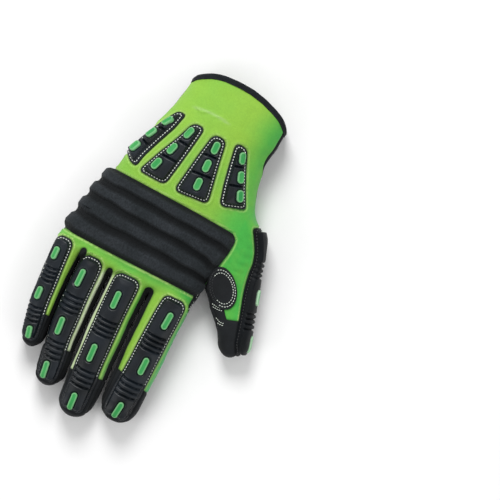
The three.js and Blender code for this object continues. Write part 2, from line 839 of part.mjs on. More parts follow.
for (const [ray, guard] of Object.entries(HAND_GUARDS)) {
  const slab = drapedSlab({ tube: palm, rows: guard.rows, ...guardSizes });
  addPiece(`hand_guard_${ray}`, seated(slab), material.guard);
  guard.tabs.forEach(([x, at, lean], i) => {
    const tab = tabGeometry({ tube: palm, x, at, lean, size: guard.tabSize, base: TAB_BASE });
    addPiece(`hand_tab_${ray}_${i + 1}`, tab, material.tab);
  });
}

const thumbGuard = drapedSlab({ tube: thumb, rows: thumbGuardRows(), ...guardSizes });
addPiece('thumb_guard', seated(thumbGuard), material.guard);
THUMB_GUARD.tabs.forEach((tab, i) => addPiece(`thumb_tab_${i + 1}`, thumbTabGeometry(tab), material.tab));

const knucklePad = drapedSlab({
  tube: palm,
  rows: padRows(),
  profile: PAD_PROFILE,
  seat: GUARD_SEAT,
  flange: RIB_FLANGE,
  rise: RIB_RISE,
  base: SUNK,
});
addPiece('knuckle_pad', seated(knucklePad), material.guard);

addPiece('palm_patch', drapedSlab({
  tube: palm,
  rows: PALM_PATCH,
  profile: PATCH_PROFILE,
  seat: SEAM_GAP,
  flange: PATCH_THICKNESS,
  rise: 0,
  palmSide: true,
}), material.black);

// The origin is the middle of the footprint, at the height of the surface that the glove lies on
const box = new THREE.Box3().setFromObject(glove);
const centre = box.getCenter(new THREE.Vector3());
glove.position.set(-centre.x, -centre.y, -box.min.z);

export default glove;
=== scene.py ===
import math

import bpy
import numpy as np
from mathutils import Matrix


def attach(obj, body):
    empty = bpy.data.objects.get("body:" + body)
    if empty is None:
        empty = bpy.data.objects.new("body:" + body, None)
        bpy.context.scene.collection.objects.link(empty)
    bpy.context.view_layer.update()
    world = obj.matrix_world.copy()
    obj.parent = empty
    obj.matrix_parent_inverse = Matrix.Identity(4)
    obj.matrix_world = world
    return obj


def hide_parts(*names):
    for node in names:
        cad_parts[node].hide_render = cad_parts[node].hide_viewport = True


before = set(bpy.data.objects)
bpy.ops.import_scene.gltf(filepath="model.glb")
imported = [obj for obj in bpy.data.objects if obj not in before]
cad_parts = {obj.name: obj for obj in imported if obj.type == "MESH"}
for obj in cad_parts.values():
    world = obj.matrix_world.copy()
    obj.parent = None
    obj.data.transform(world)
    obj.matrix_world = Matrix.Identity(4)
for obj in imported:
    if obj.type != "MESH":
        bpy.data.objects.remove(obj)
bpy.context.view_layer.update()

# Impact-guarded work glove for the right hand, lying palm down. Lengths are in millimetres in the hand's own
# frame: X across the hand to the thumb, Y from the fingertips to the cuff, Z out of the back of the hand.
MM = 0.001
HAND_MIDDLE = np.array([9.3713, -1.1230, 0.0])   # where the frame's origin lies in the hand's frame

# The hand's surface: rounded tubes, blended where they meet
TOP_ROUNDNESS = 0.9
UNDERSIDE_ROUNDNESS = 0.62
FLOOR_OF_FABRIC = 1.5
FLOOR_BLEND = 1.0
FABRIC = 1.4                 # thickness
KNUCKLE_BLEND = 3.0
THUMB_BLEND = (2.0, 7.0)     # at the crotch, and over the back of the hand
THUMB_BLEND_GROWS = (-8, 12)
FINGERS_BEGIN = 2.0
GRID_STEP = np.array([0.75, 1.25, 1.0])
GRID_LOW = np.array([-71.0, -134.0, -1.0])
GRID_HIGH = np.array([91.0, 132.0, 46.0])


def smooth_step(low, high, value):
    share = np.clip((value - low) / (high - low), 0.0, 1.0)
    return share * share * (3 - 2 * share)


def bell(value, width):
    return np.exp(-(value / width) ** 2)


def signed_power(value, power):
    return np.sign(value) * np.abs(value) ** power


def through(places, values, at):
    """A smooth curve through a short table, without overshoot. The places rise."""
    step = np.diff(places)
    slope = np.diff(values) / step
    before, after = 2 * step[1:] + step[:-1], step[1:] + 2 * step[:-1]
    same_way = slope[:-1] * slope[1:] > 0
    steep = np.where(same_way, slope[:-1] * slope[1:], 1.0)
    grade = np.empty_like(values)
    grade[1:-1] = np.where(same_way, (before + after) * steep / (before * slope[1:] + after * slope[:-1]
                                                                 + ~same_way), 0.0)
    grade[0], grade[-1] = slope[0], slope[-1]
    at = np.clip(at, places[0], places[-1])
    i = np.clip(np.searchsorted(places, at, side="right") - 1, 0, len(places) - 2)
    t = (at - places[i]) / step[i]
    rise = values[i + 1] - values[i]
    return (values[i] + rise * t * t * (3 - 2 * t)
            + step[i] * (grade[i] * t * (1 - t) ** 2 - grade[i + 1] * t * t * (1 - t)))


class Table:
    """Rows of numbers with named columns, read as smooth curves over the first column."""

    def __init__(self, columns, *rows):
        data = np.array(rows, float)
        data = data[np.argsort(data[:, 0])]
        self.places = data[:, 0]
        self.columns = {name: data[:, i] for i, name in enumerate(columns.split())}

    def read(self, name, at):
        return through(self.places, self.columns[name], at)

    def straight(self, name, at):
        return np.interp(at, self.places, self.columns[name])


SIDES = ("left", "right", "bottom", "top")


class Tube:
    """A rounded tube through a table of sections, with a domed end. `start` and `end` bound the dome."""

    def __init__(self, sections, start, end, tip=(0.0, 0.0), splay=0.0):
        self.sections = sections
        self.start, self.end = start, end
        self.tip = tip
        self.cos, self.sin = math.cos(splay), math.sin(splay)

    def local(self, x, y):
        dx, dy = x - self.tip[0], y - self.tip[1]
        return dx * self.cos + dy * self.sin, dy * self.cos - dx * self.sin

    def section(self, at):
        left, right, bottom, top = (self.sections.read(side, at) for side in SIDES)
        return (left + right) / 2, (right - left) / 2, (bottom + top) / 2, (top - bottom) / 2

    def distance(self, x, y, z):
        across, along = self.local(x, y)
        middle, half_width, centre, half_height = self.section(along)
        u = np.maximum(np.abs(across - middle) / half_width, 1e-6)
        v = np.maximum(np.abs(z - centre) / half_height, 1e-6)
        power = np.where(z >= centre, 2 / TOP_ROUNDNESS, 2 / UNDERSIDE_ROUNDNESS)
        wide, high = u ** power, v ** power
        measure = (wide + high) ** (1 / power)
        past = np.maximum(self.start - along, 0) / (self.start - self.end)
        total = np.hypot(measure, past)
        slope_x = measure ** 2 / (total * (wide + high)) * wide / (u * half_width)
        slope_z = measure ** 2 / (total * (wide + high)) * high / (v * half_height)
        slope_y = past / (total * (self.start - self.end))
        return (total - 1) / np.sqrt(slope_x ** 2 + slope_y ** 2 + slope_z ** 2)

    def grown(self, at, grow):
        """The section at one place of the table, once the tube is grown."""
        middle, half_width, centre, half_height = self.section(at)
        past = np.clip((self.start - at) / (self.start - self.end), 0, 1)
        shrink = np.sqrt(1 - past ** 2)
        along = np.where(past > 0, self.start - (self.start - self.end + grow) * past, at)
        return along, middle, (half_width + grow) * shrink, centre, (half_height + grow) * shrink

    def point(self, at, angle, grow=0.0):
        """Angle 0 is the thumb's side, a quarter turn the back of the hand."""
        along, middle, half_width, centre, half_height = self.grown(at, grow)
        power = np.where(np.sin(angle) >= 0, TOP_ROUNDNESS, UNDERSIDE_ROUNDNESS)
        across = middle + half_width * signed_power(np.cos(angle), power)
        up = centre + half_height * signed_power(np.sin(angle), power)
        return np.stack([self.tip[0] + self.cos * across - self.sin * along,
                         self.tip[1] + self.sin * across + self.cos * along, up], -1)

    def place_of(self, along, grow):
        """The place in the table whose section lies at a length along the grown tube."""
        span = self.start - self.end
        return np.where(along >= self.start, along, self.start - (self.start - along) * span / (span + grow))

    def angle_of(self, at, across, grow):
        """The angle on the back of the tube at which a point lies so far across."""
        _, middle, half_width, _, _ = self.grown(at, grow)
        share = np.clip((across - middle) / np.maximum(half_width, 1e-6), -1, 1)
        return np.arccos(signed_power(share, 1 / TOP_ROUNDNESS))


def sections(*rows):
    return Table("at left right bottom top", *rows)


palm = Tube(sections(
    [134, -30, 42, -1, 41], [116, -31, 43, -1, 42], [100, -34, 42.4, -1, 42], [85, -38, 40.2, -1, 41.5],
    [64, -45.3, 43.3, -1.5, 42], [50, -50, 48, -1.5, 41.5], [37, -52.6, 50, -1.5, 40],
    [20, -57.4, 47, -1.5, 37.5], [5, -60.6, 42.5, -1.5, 34.5], [-8, -62.8, 39, -1.5, 32],
    [-21, -67, 37.6, -1, 30]), start=-21, end=-31)
fingers = {
    "little": Tube(sections(
        [0, -58, -48, 6, 26], [-22, -67.8, -48.2, 2.2, 26], [-45, -67.4, -47.9, 3.2, 25.5],
        [-60, -66.3, -47.7, 3.5, 25], [-76, -64.3, -46.5, 3, 23.5], [-89, -61.6, -45.4, 2, 21.5]),
        start=-89, end=-100),
    "ring": Tube(sections(
        [0, -45, -27, 6, 28], [-24, -46.7, -25, 2.2, 28.5], [-48, -46.8, -24.9, 3.5, 28],
        [-70, -46.2, -24.4, 4.2, 27], [-92, -44.2, -23, 3.5, 24.5], [-107, -42.7, -21.6, 2, 22.5]),
        start=-107, end=-119.5),
    "middle": Tube(sections(
        [0, -21, 3, 6, 29], [-26, -23.4, 5, 2.2, 29.5], [-50, -23.4, 4.8, 3.5, 29],
        [-78, -22.6, 5.3, 4.5, 27.5], [-100, -20.9, 6, 3.8, 25.5], [-117, -19.6, 6.2, 2.2, 23.5]),
        start=-117, end=-131),
    "index": Tube(sections(
        [0, 9, 33, 6, 28], [-24, 6.7, 36.6, 2.2, 28.5], [-50, 6.4, 36, 3.5, 28],
        [-75, 7.1, 35.8, 4.2, 26.5], [-92, 7.5, 35.6, 3.5, 25], [-108, 8.5, 34.8, 2, 22.5]),
        start=-108, end=-121),
}
thumb = Tube(sections(
    [108, -24, -5, 5, 32], [98, -24, 4, 3, 34.5], [91, -24, 8.6, 2.2, 35], [82, -25, 10.2, 2.2, 34],
    [72, -26, 10.2, 2.2, 33], [60, -26.5, 9.2, 2.2, 31], [48, -25, 8.8, 2.2, 28.5],
    [40, -21.5, 8.4, 2.2, 27.5], [32, -18.5, 8.3, 2.2, 26.5], [26, -15.6, 8.1, 2.2, 26],
    [20, -12.9, 7.8, 2.2, 25.5], [12, -10.8, 7.1, 2.2, 24.5]),
    start=12, end=1, tip=(78.0, -46.5), splay=math.radians(19))


def blended(a, b, reach):
    """The nearer of two surfaces, rounded where they meet."""
    share = np.maximum(reach - np.abs(a - b), 0) / reach
    return np.minimum(a, b) - share ** 2 * reach / 4


def hand_distance(x, y, z):
    nearest_finger = np.minimum.reduce([tube.distance(x, y, z) for tube in fingers.values()])
    nearest_finger = np.maximum(nearest_finger, y - FINGERS_BEGIN)
    reach = THUMB_BLEND[0] + (THUMB_BLEND[1] - THUMB_BLEND[0]) * smooth_step(*THUMB_BLEND_GROWS, y)
    hand = blended(palm.distance(x, y, z), thumb.distance(x, y, z), reach)
    hand = blended(hand, nearest_finger, KNUCKLE_BLEND)
    return -blended(-hand, z - FLOOR_OF_FABRIC, FLOOR_BLEND)


def slope_at(points):
    reach = 0.05
    x, y, z = points.T
    rise = [hand_distance(x + reach, y, z) - hand_distance(x - reach, y, z),
            hand_distance(x, y + reach, z) - hand_distance(x, y - reach, z),
            hand_distance(x, y, z + reach) - hand_distance(x, y, z - reach)]
    return np.stack(rise, 1) / (2 * reach)


def unit(vectors):
    return vectors / np.maximum(np.linalg.norm(vectors, axis=1, keepdims=True), 1e-9)


def onto_hand(points, rounds=2, furthest=1.0):
    """Moves points onto the hand's surface and gives its normals there."""
    for _ in range(rounds):
        slope = slope_at(points)
        move = -(hand_distance(*points.T) / (slope ** 2).sum(1))[:, None] * slope
        size = np.linalg.norm(move, axis=1, keepdims=True)
        points = points + move * np.minimum(1, furthest / np.maximum(size, 1e-9))
    return points, unit(slope_at(points))


def surface_net(values, low, step):
    """Triangles round the zero level of a grid of values, with one point in each crossed cell."""
    inside = values < 0
    cells_shape = np.array(values.shape) - 1
    corners = [np.array([i, j, k]) for i in (0, 1) for j in (0, 1) for k in (0, 1)]
    filled = sum(inside[tuple(slice(c, c + n) for c, n in zip(corner, cells_shape))].astype(np.int8)
                 for corner in corners)
    crossed = (filled > 0) & (filled < 8)
    number = np.full(crossed.shape, -1)
    number[crossed] = np.arange(crossed.sum())
    cells = np.argwhere(crossed)
    at_corner = [values[tuple((cells + corner).T)] for corner in corners]
    total, hits = np.zeros(cells.shape), np.zeros(len(cells))
    for a, corner_a in enumerate(corners):
        for b, corner_b in enumerate(corners):
            if (corner_b - corner_a).sum() == 1 and (corner_b - corner_a).min() == 0:
                cut = (at_corner[a] < 0) != (at_corner[b] < 0)
                share = np.where(cut, at_corner[a] / (at_corner[a] - at_corner[b] + ~cut), 0)
                total += cut[:, None] * (corner_a + share[:, None] * (corner_b - corner_a))
                hits += cut
    points = low + (cells + total / hits[:, None]) * step
    quads = []
    for axis in range(3):
        u, v = np.eye(3, dtype=int)[(axis + 1) % 3], np.eye(3, dtype=int)[(axis + 2) % 3]
        ahead = np.eye(3, dtype=int)[axis]
        here = inside[tuple(slice(1 - a, n) for a, n in zip(ahead, cells_shape))]
        next_one = inside[tuple(slice(1, n + a) for a, n in zip(ahead, cells_shape))]
        flips = np.argwhere(here != next_one) + (1 - ahead)
        quad = np.stack([number[tuple((flips - u - v).T)], number[tuple((flips - v).T)],
                         number[tuple(flips.T)], number[tuple((flips - u).T)]], 1)
        leaving = inside[tuple(flips.T)]
        quads.append(np.where(leaving[:, None], quad, quad[:, ::-1]))
    quads = np.concatenate(quads)
    one = np.linalg.norm(points[quads[:, 0]] - points[quads[:, 2]], axis=1)
    other = np.linalg.norm(points[quads[:, 1]] - points[quads[:, 3]], axis=1)
    short = one <= other
    first = np.where(short[:, None], quads[:, [0, 1, 2]], quads[:, [0, 1, 3]])
    second = np.where(short[:, None], quads[:, [0, 2, 3]], quads[:, [1, 2, 3]])
    return points, np.concatenate([first, second])


def directed_edges(faces):
    return np.stack([faces, np.roll(faces, -1, 1)], 2).reshape(-1, 2)


def edges_of(faces):
    """Every edge once, and which of them each face's sides are."""
    edges, which = np.unique(np.sort(directed_edges(faces), 1), axis=0, return_inverse=True)
    return edges, which.reshape(-1, 3)


def open_edges(faces):
    """The edges that only one face has, in that face's direction."""
    directed = directed_edges(faces)
    _, first, times = np.unique(np.sort(directed, 1), axis=0, return_index=True, return_counts=True)
    return directed[first[times == 1]]


def in_use(faces):
    """The numbers of the points that faces use, and the faces counted along that list."""
    used, places = np.unique(faces, return_inverse=True)
    return used, places.reshape(-1, 3)


def grid_faces(rows, columns):
    """Two triangles for each cell of a grid whose points are numbered row by row."""
    number = np.arange(rows * columns).reshape(rows, columns)
    a, b = number[:-1, :-1].ravel(), number[1:, :-1].ravel()
    c, d = number[1:, 1:].ravel(), number[:-1, 1:].ravel()
    return np.concatenate([np.stack([a, b, c], 1), np.stack([a, c, d], 1)])


def relaxed(points, faces, share):
    """Each point moves towards the middle of its neighbours."""
    a, b = edges_of(faces)[0].T
    count = np.bincount(a, minlength=len(points)) + np.bincount(b, minlength=len(points))
    total = np.stack([np.bincount(a, points[b, i], len(points)) + np.bincount(b, points[a, i], len(points))
                      for i in range(3)], 1)
    return points + share * (total / np.maximum(count, 1)[:, None] - points)


SNAP = 0.06


def snapped(values):
    return np.where(np.abs(values) < SNAP, 0.0, values)


def cut_along(points, faces, values):
    """Cuts triangles where a value given at each point changes sign, so that the line becomes an edge."""
    values = snapped(values)
    ends = np.sort(directed_edges(faces), 1)
    crossing = values[ends[:, 0]] * values[ends[:, 1]] < 0
    pairs, which = np.unique(ends[crossing], axis=0, return_inverse=True)
    a, b = pairs.T
    share = (values[a] / (values[a] - values[b]))[:, None]
    fresh = points[a] + share * (points[b] - points[a])
    new = np.full(len(ends), -1)
    new[crossing] = len(points) + which.ravel()
    new = new.reshape(-1, 3)
    count = (new >= 0).sum(1)
    result = [faces[count == 0]]

    def turned(chosen, first):
        order = (first[:, None] + np.arange(3)) % 3
        return np.take_along_axis(faces[chosen], order, 1), np.take_along_axis(new[chosen], order, 1)

    chosen = count == 1
    corner, fresh_on = turned(chosen, np.argmax(new[chosen] >= 0, 1))
    result.append(np.stack([corner[:, 0], fresh_on[:, 0], corner[:, 2]], 1))
    result.append(np.stack([fresh_on[:, 0], corner[:, 1], corner[:, 2]], 1))
    chosen = count == 2
    corner, fresh_on = turned(chosen, np.argmax(new[chosen] < 0, 1))
    result.append(np.stack([fresh_on[:, 1], corner[:, 2], fresh_on[:, 2]], 1))
    result.append(np.stack([corner[:, 0], corner[:, 1], fresh_on[:, 1]], 1))
    result.append(np.stack([corner[:, 0], fresh_on[:, 1], fresh_on[:, 2]], 1))
    return np.concatenate([points, fresh]), np.concatenate(result)


def on_positive_side(faces, values):
    return snapped(values)[faces].sum(1) > 0


def paths_along(points, faces, values):
    """The zero lines of a value on a mesh, as lists of points in order."""
    above = values >= 0
    ends = np.sort(directed_edges(faces), 1).reshape(-1, 3, 2)
    crossing = above[ends[:, :, 0]] != above[ends[:, :, 1]]
    links = {}
    for pair, hit in zip(ends[crossing.sum(1) == 2], crossing[crossing.sum(1) == 2]):
        a, b = (tuple(edge) for edge in pair[hit])
        links.setdefault(a, []).append(b)
        links.setdefault(b, []).append(a)
    paths = []
    starts = [edge for edge, near in links.items() if len(near) == 1] + list(links)
    used = set()
    for start in starts:
        if start in used:
            continue
        chain, edge = [start], start
        used.add(start)
        while True:
            onward = [n for n in links[edge] if n not in used]
            if not onward:
                break
            edge = onward[0]
            used.add(edge)
            chain.append(edge)
        closed = len(chain) > 2 and start in links[edge]
        a, b = np.array(chain + chain[:1] if closed else chain).T
        share = (values[a] / (values[a] - values[b]))[:, None]
        paths.append(points[a] + share * (points[b] - points[a]))
    return paths


# Cut lines of the fabric. Each function gives a distance, positive on the side that the function names
CUFF_RIM = Table("x at", [-48, 105], [-32, 114.5], [-31, 118], [-29, 121], [-25, 123.5], [-20, 126],
                 [-15, 127.5], [-10, 128.3], [0, 128.6], [10, 128], [20, 125.8], [30, 122.3], [35, 120],
                 [38, 118], [41, 115], [43, 112], [46, 106], [56, 92])
SIDE_SEAM = Table("at little_side thumb_side", [140, 21, 26], [112, 21, 27], [95, 21, 27.5], [85, 21, 26],
                  [77, 21, 20], [60, 21, 18], [20, 17, 14], [0, 14.6, 14], [-12, 13.8, 22], [-26, 12.5, 22],
                  [-34, 11.5, 12.5], [-40, 11.5, 11.5], [-70, 11.5, 11.5],
                  [-100, 10.5, 10.5], [-140, 10, 10])
SEAM_TURNS = (-15, 25)      # across the hand, from the little finger's seam to the thumb's
RIM_UNDER_BINDING = 2.2
TIP_CUTS = {   # the place of the cut in the middle of the finger, its lean, and that middle
    "little": (-76.0, 0.1, -58.0), "ring": (-92.0, 0.12, -33.0), "middle": (-100.0, 0.1, -7.0),
    "index": (-90.0, -0.25, 22.0),
}
FINGERS_SIDE = 42.0         # all that lies beyond is thumb
THUMB_TIP_CUT = 26.8
THUMB_TIP_RISE = 9.0
ELSEWHERE = -10.0           # the distance given where a line doesn't count
STRIPS = {
    "little_ring": Table("at left right", [-22, -49.4, -45], [-50, -49.6, -44.4], [-95, -48, -41.8]),
    "ring_middle": Table("at left right", [-27, -26.8, -22.8], [-60, -26.3, -22.6], [-104, -24, -20.2]),
    "middle_index": Table("at left right", [-27, 2.7, 8.9], [-60, 2.9, 8.7], [-102, 4, 10]),
}
STRIP_TOPS = {"little_ring": -21.5, "ring_middle": -26.5, "middle_index": -26.5}
SADDLE = {"x": 51.0, "y": -4.6, "long": 15.2, "short": 9.4, "turn": math.radians(-52), "low": 5.0}
SEAM_LINES = (-0.9, 0.0, 0.9)      # each seam's own line, with one beside it on either side
CROTCH = np.array([[39.4, 6], [42.5, 7.5], [50.6, -4.6], [59.5, -14.5], [57.6, -18.6], [60.2, -24], [56, -50],
                   [39.4, -50], [38.7, -17]], float)
THUMB_WRAP = np.array([[20.8, 59.3], [35.6, 61.2], [46, 62], [64, 45], [72, 24], [61.2, 22.5], [48, 33],
                       [37.5, 41.8], [28, 49.2]], float)


BATCH = 20000
LEAST = 1e-12


def inset(points, outline):
    """How far inside a closed outline each point of the plane lies. Negative outside."""
    a, b = outline, np.roll(outline, -1, 0)
    side = b - a
    length = np.maximum((side ** 2).sum(1), LEAST)
    result = np.empty(len(points))
    for first in range(0, len(points), BATCH):
        p = points[first:first + BATCH, None, :]
        share = np.clip(((p - a) * side).sum(2) / length, 0, 1)
        gap = np.linalg.norm(p - a - share[:, :, None] * side, axis=2).min(1)
        x, y = p[:, :, 0], p[:, :, 1]
        straddles = (a[:, 1] > y) != (b[:, 1] > y)
        level = np.where(np.abs(side[:, 1]) < LEAST, LEAST, side[:, 1])
        crosses = straddles & (x < a[:, 0] + (y - a[:, 1]) * side[:, 0] / level)
        inside = crosses.sum(1) % 2 == 1
        result[first:first + BATCH] = np.where(inside, gap, -gap)
    return result


def beyond_rim(points):
    return points[:, 1] - CUFF_RIM.straight("at", points[:, 0]) + RIM_UNDER_BINDING


def above_seam(points):
    x, y = points[:, 0], points[:, 1]
    share = smooth_step(*SEAM_TURNS, x)
    little_side, thumb_side = (SIDE_SEAM.read(side, y) for side in ("little_side", "thumb_side"))
    return points[:, 2] - (1 - share) * little_side - share * thumb_side


def finger_numbers(points):
    """The finger that each point belongs to, as a number from little to index."""
    x, y = points[:, 0], points[:, 1]
    gaps = [(STRIPS[name].read("left", y) + STRIPS[name].read("right", y)) / 2 for name in STRIPS]
    return sum((x > gap).astype(int) for gap in gaps)


def in_tip(points):
    """Positive on the black caps of the fingers."""
    x, y = points[:, 0], points[:, 1]
    cut, lean, middle = np.array(list(TIP_CUTS.values()))[finger_numbers(points)].T
    return np.where(x < FINGERS_SIDE, cut + lean * (x - middle) - y, ELSEWHERE)


def in_thumb_tip(points):
    across, along = thumb.local(points[:, 0], points[:, 1])
    cut = THUMB_TIP_CUT + THUMB_TIP_RISE * smooth_step(-6.5, -11, across)
    return np.where((along < 45) & (points[:, 0] > 48), cut - along, ELSEWHERE)


def in_strip(points, name):
    x, y = points[:, 0], points[:, 1]
    left, right = STRIPS[name].read("left", y), STRIPS[name].read("right", y)
    half, middle, top = (right - left) / 2, (right + left) / 2, STRIP_TOPS[name]
    below_round = y - (top - half)
    return half - np.where(below_round > 0, np.hypot(x - middle, below_round), np.abs(x - middle))


def in_any_strip(points):
    return np.maximum.reduce([in_strip(points, name) for name in STRIPS])


def in_saddle(points):
    cos, sin = math.cos(SADDLE["turn"]), math.sin(SADDLE["turn"])
    dx, dy = points[:, 0] - SADDLE["x"], points[:, 1] - SADDLE["y"]
    u, v = (dx * cos + dy * sin) / SADDLE["long"], (dy * cos - dx * sin) / SADDLE["short"]
    return np.minimum((1 - np.hypot(u, v)) * SADDLE["short"], points[:, 2] - SADDLE["low"])


def in_crotch(points):
    """The black side of the crotch, from the knuckle pad to the cap of the thumb."""
    return inset(points[:, :2], CROTCH)


def in_thumb_wrap(points):
    """The green corner that folds round the thumb's side onto the palm."""
    return np.minimum(inset(points[:, :2], THUMB_WRAP), 24.0 - points[:, 2])


def glove_skin():
    """The whole fabric surface as triangles, cut along every seam."""
    axes = [np.arange(low, high, step) for low, high, step in zip(GRID_LOW, GRID_HIGH, GRID_STEP)]
    grid = hand_distance(axes[0][:, None, None], axes[1][None, :, None], axes[2][None, None, :])
    points, faces = surface_net(grid, GRID_LOW, GRID_STEP)
    points, _ = onto_hand(points)
    for _ in range(2):
        points, _ = onto_hand(relaxed(points, faces, 0.5), 1)
    points, faces = cut_along(points, faces, beyond_rim(points))
    used, faces = in_use(faces[~on_positive_side(faces, beyond_rim(points))])
    points = points[used]
    for line in (above_seam, in_tip, in_thumb_tip, in_any_strip):
        for shift in SEAM_LINES:
            points, faces = cut_along(points, faces, line(points) + shift)
    for line in (in_saddle, in_crotch, in_thumb_wrap):
        points, faces = cut_along(points, faces, line(points))
    return points, faces


# Guards, inserts and the knuckle pad, drawn in plan as they show from above over the tube that carries them
GUARD_RIM = 1.3
STITCH_INSET = 1.55
FINGER_GUARDS = {   # the edges are those of the stitching, the inserts' places are as seen from above
    "little": {
        "top": -20.3,
        "end": -97.0,
        "flex": [(-44.3, -3.1), (-73, -3.2)],
        "edges": Table(
            "at left right", [-21, -67, -57.4], [-28, -67.7, -56.4], [-35, -67.5, -56], [-45, -67.1, -55.4],
            [-55, -66.5, -54.7], [-65, -66, -54.2], [-73, -65.2, -53.4], [-80, -63.9, -52.5],
            [-90, -61.6, -51.4], [-97, -60.2, -51.2]),
        "tabs": [(-64.3, -33.5, 1), (-62.6, -63.4, 3), (-56.8, -91.2, 12)],
        "tab": (4.1, 9.4),
    },
    "ring": {
        "top": -24.1,
        "end": -117.0,
        "flex": [(-55, -3.7), (-88.4, -3.8)],
        "edges": Table(
            "at left right", [-25, -44.2, -33], [-30, -45, -31.4], [-40, -45.9, -31.1], [-50, -46.4, -31],
            [-60, -46.4, -30.6], [-70, -45.7, -30], [-80, -44.8, -29.7], [-88, -43.6, -29],
            [-95, -42.2, -28], [-110, -39.6, -26.6], [-118, -38.4, -26.4]),
        "tabs": [(-41.1, -41.4, 0), (-39.2, -77.4, 4), (-35.4, -109.8, 7)],
        "tab": (4.1, 13.0),
    },
    "middle": {
        "top": -25.3,
        "end": -128.0,
        "flex": [(-60, -3.5), (-97.5, -3.8)],
        "edges": Table(
            "at left right", [-26, -18.6, -3.4], [-30, -19.3, -2.4], [-35, -19.7, -2.2], [-45, -19.7, -2.3],
            [-55, -19.5, -2.3], [-65, -19.1, -2], [-75, -18.8, -1.7], [-85, -18.4, -1.4], [-95, -17.9, -1],
            [-101, -17.2, -0.4], [-115, -16.2, -0.2], [-128, -15.2, -0.4]),
        "tabs": [(-12.1, -44.4, 1), (-11, -84.5, 2), (-8.7, -121.2, 3)],
        "tab": (4.2, 13.2),
    },
    "index": {
        "top": -25.3,
        "end": -119.5,
        "flex": [(-55, -3.5), (-90, -3.8)],
        "edges": Table(
            "at left right", [-26, 18, 32], [-31, 17.3, 33], [-38, 16.5, 33], [-48, 15.9, 32.8],
            [-58, 15.4, 32.5], [-68, 15, 32.3], [-78, 14.8, 32.1], [-86, 14.3, 32], [-94, 13.6, 31.6],
            [-108, 13.3, 30.6], [-119, 13.6, 29.4]),
        "tabs": [(26.3, -42, -4), (25.2, -77.5, -1), (22.4, -113, -7)],
        "tab": (4.3, 13.0),
    },
}
HAND_GUARDS = {   # each corner has its place and how far it is rounded off
    "little": {
        "corners": [
            (-31, 92.4, 3), (-25, 92.2, 4), (-28.3, 80, 2), (-34, 66.5, 2), (-38.9, 54, 2), (-41, 44.8, 4),
            (-46.5, 46.2, 3), (-53, 53, 3), (-48.5, 61, 2), (-44.8, 68.5, 2), (-41, 76, 2), (-37, 83.5, 2)],
        "grooves": [((-39.5, 75.2), (-33, 75.8)), ((-45, 64.2), (-38.5, 61.4))],
        "tabs": [(-34.6, 83, -33), (-41.2, 70.8, -28), (-47.2, 57.5, -24)],
        "tab": (4.4, 8.6),
    },
    "ring": {
        "corners": [
            (-17.8, 89.5, 5), (-8.4, 89.5, 4.8), (-10.9, 73, 2), (-13.3, 59, 2), (-16.6, 41.8, 5),
            (-38.4, 43, 4.8), (-30, 62, 2), (-23.4, 75.5, 2)],
        "grooves": [((-24, 74), (-15, 73.2)), ((-30, 60.3), (-19, 59.8))],
        "tabs": [(-17.2, 81.6, -18), (-22.8, 66.8, -17), (-28, 52.8, -19)],
        "tab": (5.0, 9.2),
    },
    "middle": {
        "corners": [
            (-1.4, 88.5, 5), (9, 88.5, 5), (11.5, 72, 2), (13.8, 59, 2), (16.6, 42.8, 5), (-9.6, 41.2, 5),
            (-6.6, 60, 2), (-4.3, 74, 2)],
        "grooves": [((-2.5, 73), (10, 73.8)), ((-4, 59), (11.5, 60.2))],
        "tabs": [(4.2, 80.1, 0), (4.1, 66.4, 0), (4.1, 52.5, 0)],
        "tab": (5.0, 9.2),
    },
    "index": {
        "corners": [
            (15.4, 89.8, 4.5), (24.8, 89.8, 4.5), (30.2, 76.5, 2), (36, 63.4, 2), (42.5, 50.8, 3.5),
            (24.2, 45.2, 4.8), (20.5, 60, 2), (18, 73.5, 2)],
        "grooves": [((19.5, 74), (29, 77.2)), ((22, 61), (34, 64.6))],
        "tabs": [(24.2, 81.9, 19), (28.9, 69.7, 20), (34, 57.7, 22)],
        "tab": (4.9, 8.6),
    },
}
THUMB_GUARD = {
    "upper": Table("at across", [93, 3.6], [86, 5.6], [79, 7.6], [72, 8], [65, 7], [58, 4.9], [51, 3.8],
                   [42, 3], [27, 2.4], [10, 1.2], [0, 0.6]),
    "lower_angle": math.radians(-42), "top": 92.5, "end": 1.8,
    "flex": [69.0, 65.5, 62.0, 58.5, 33.0, 29.4, 25.8, 22.2],
    "tabs": [(44.6, 9.0), (12.4, 9.0)], "tab": (4.4, 11.5),
}


def rounded(corners, radii, steps=7):
    """A closed outline whose corners are rounded off by the given lengths."""
    corners = np.array(corners, float)
    outline = []
    for i, radius in enumerate(np.broadcast_to(radii, len(corners))):
        corner = corners[i]
        back, onward = corners[i - 1] - corner, corners[(i + 1) % len(corners)] - corner
        reach = min(radius, 0.48 * np.linalg.norm(back), 0.48 * np.linalg.norm(onward))
        first = corner + back / np.linalg.norm(back) * reach
        last = corner + onward / np.linalg.norm(onward) * reach
        for t in np.linspace(0, 1, steps):
            outline.append((1 - t) ** 2 * first + 2 * t * (1 - t) * corner + t * t * last)
    return np.array(outline)


TOP_ROUND, END_ROUND = 4.4, 5.2
SIDE_POINTS = 24


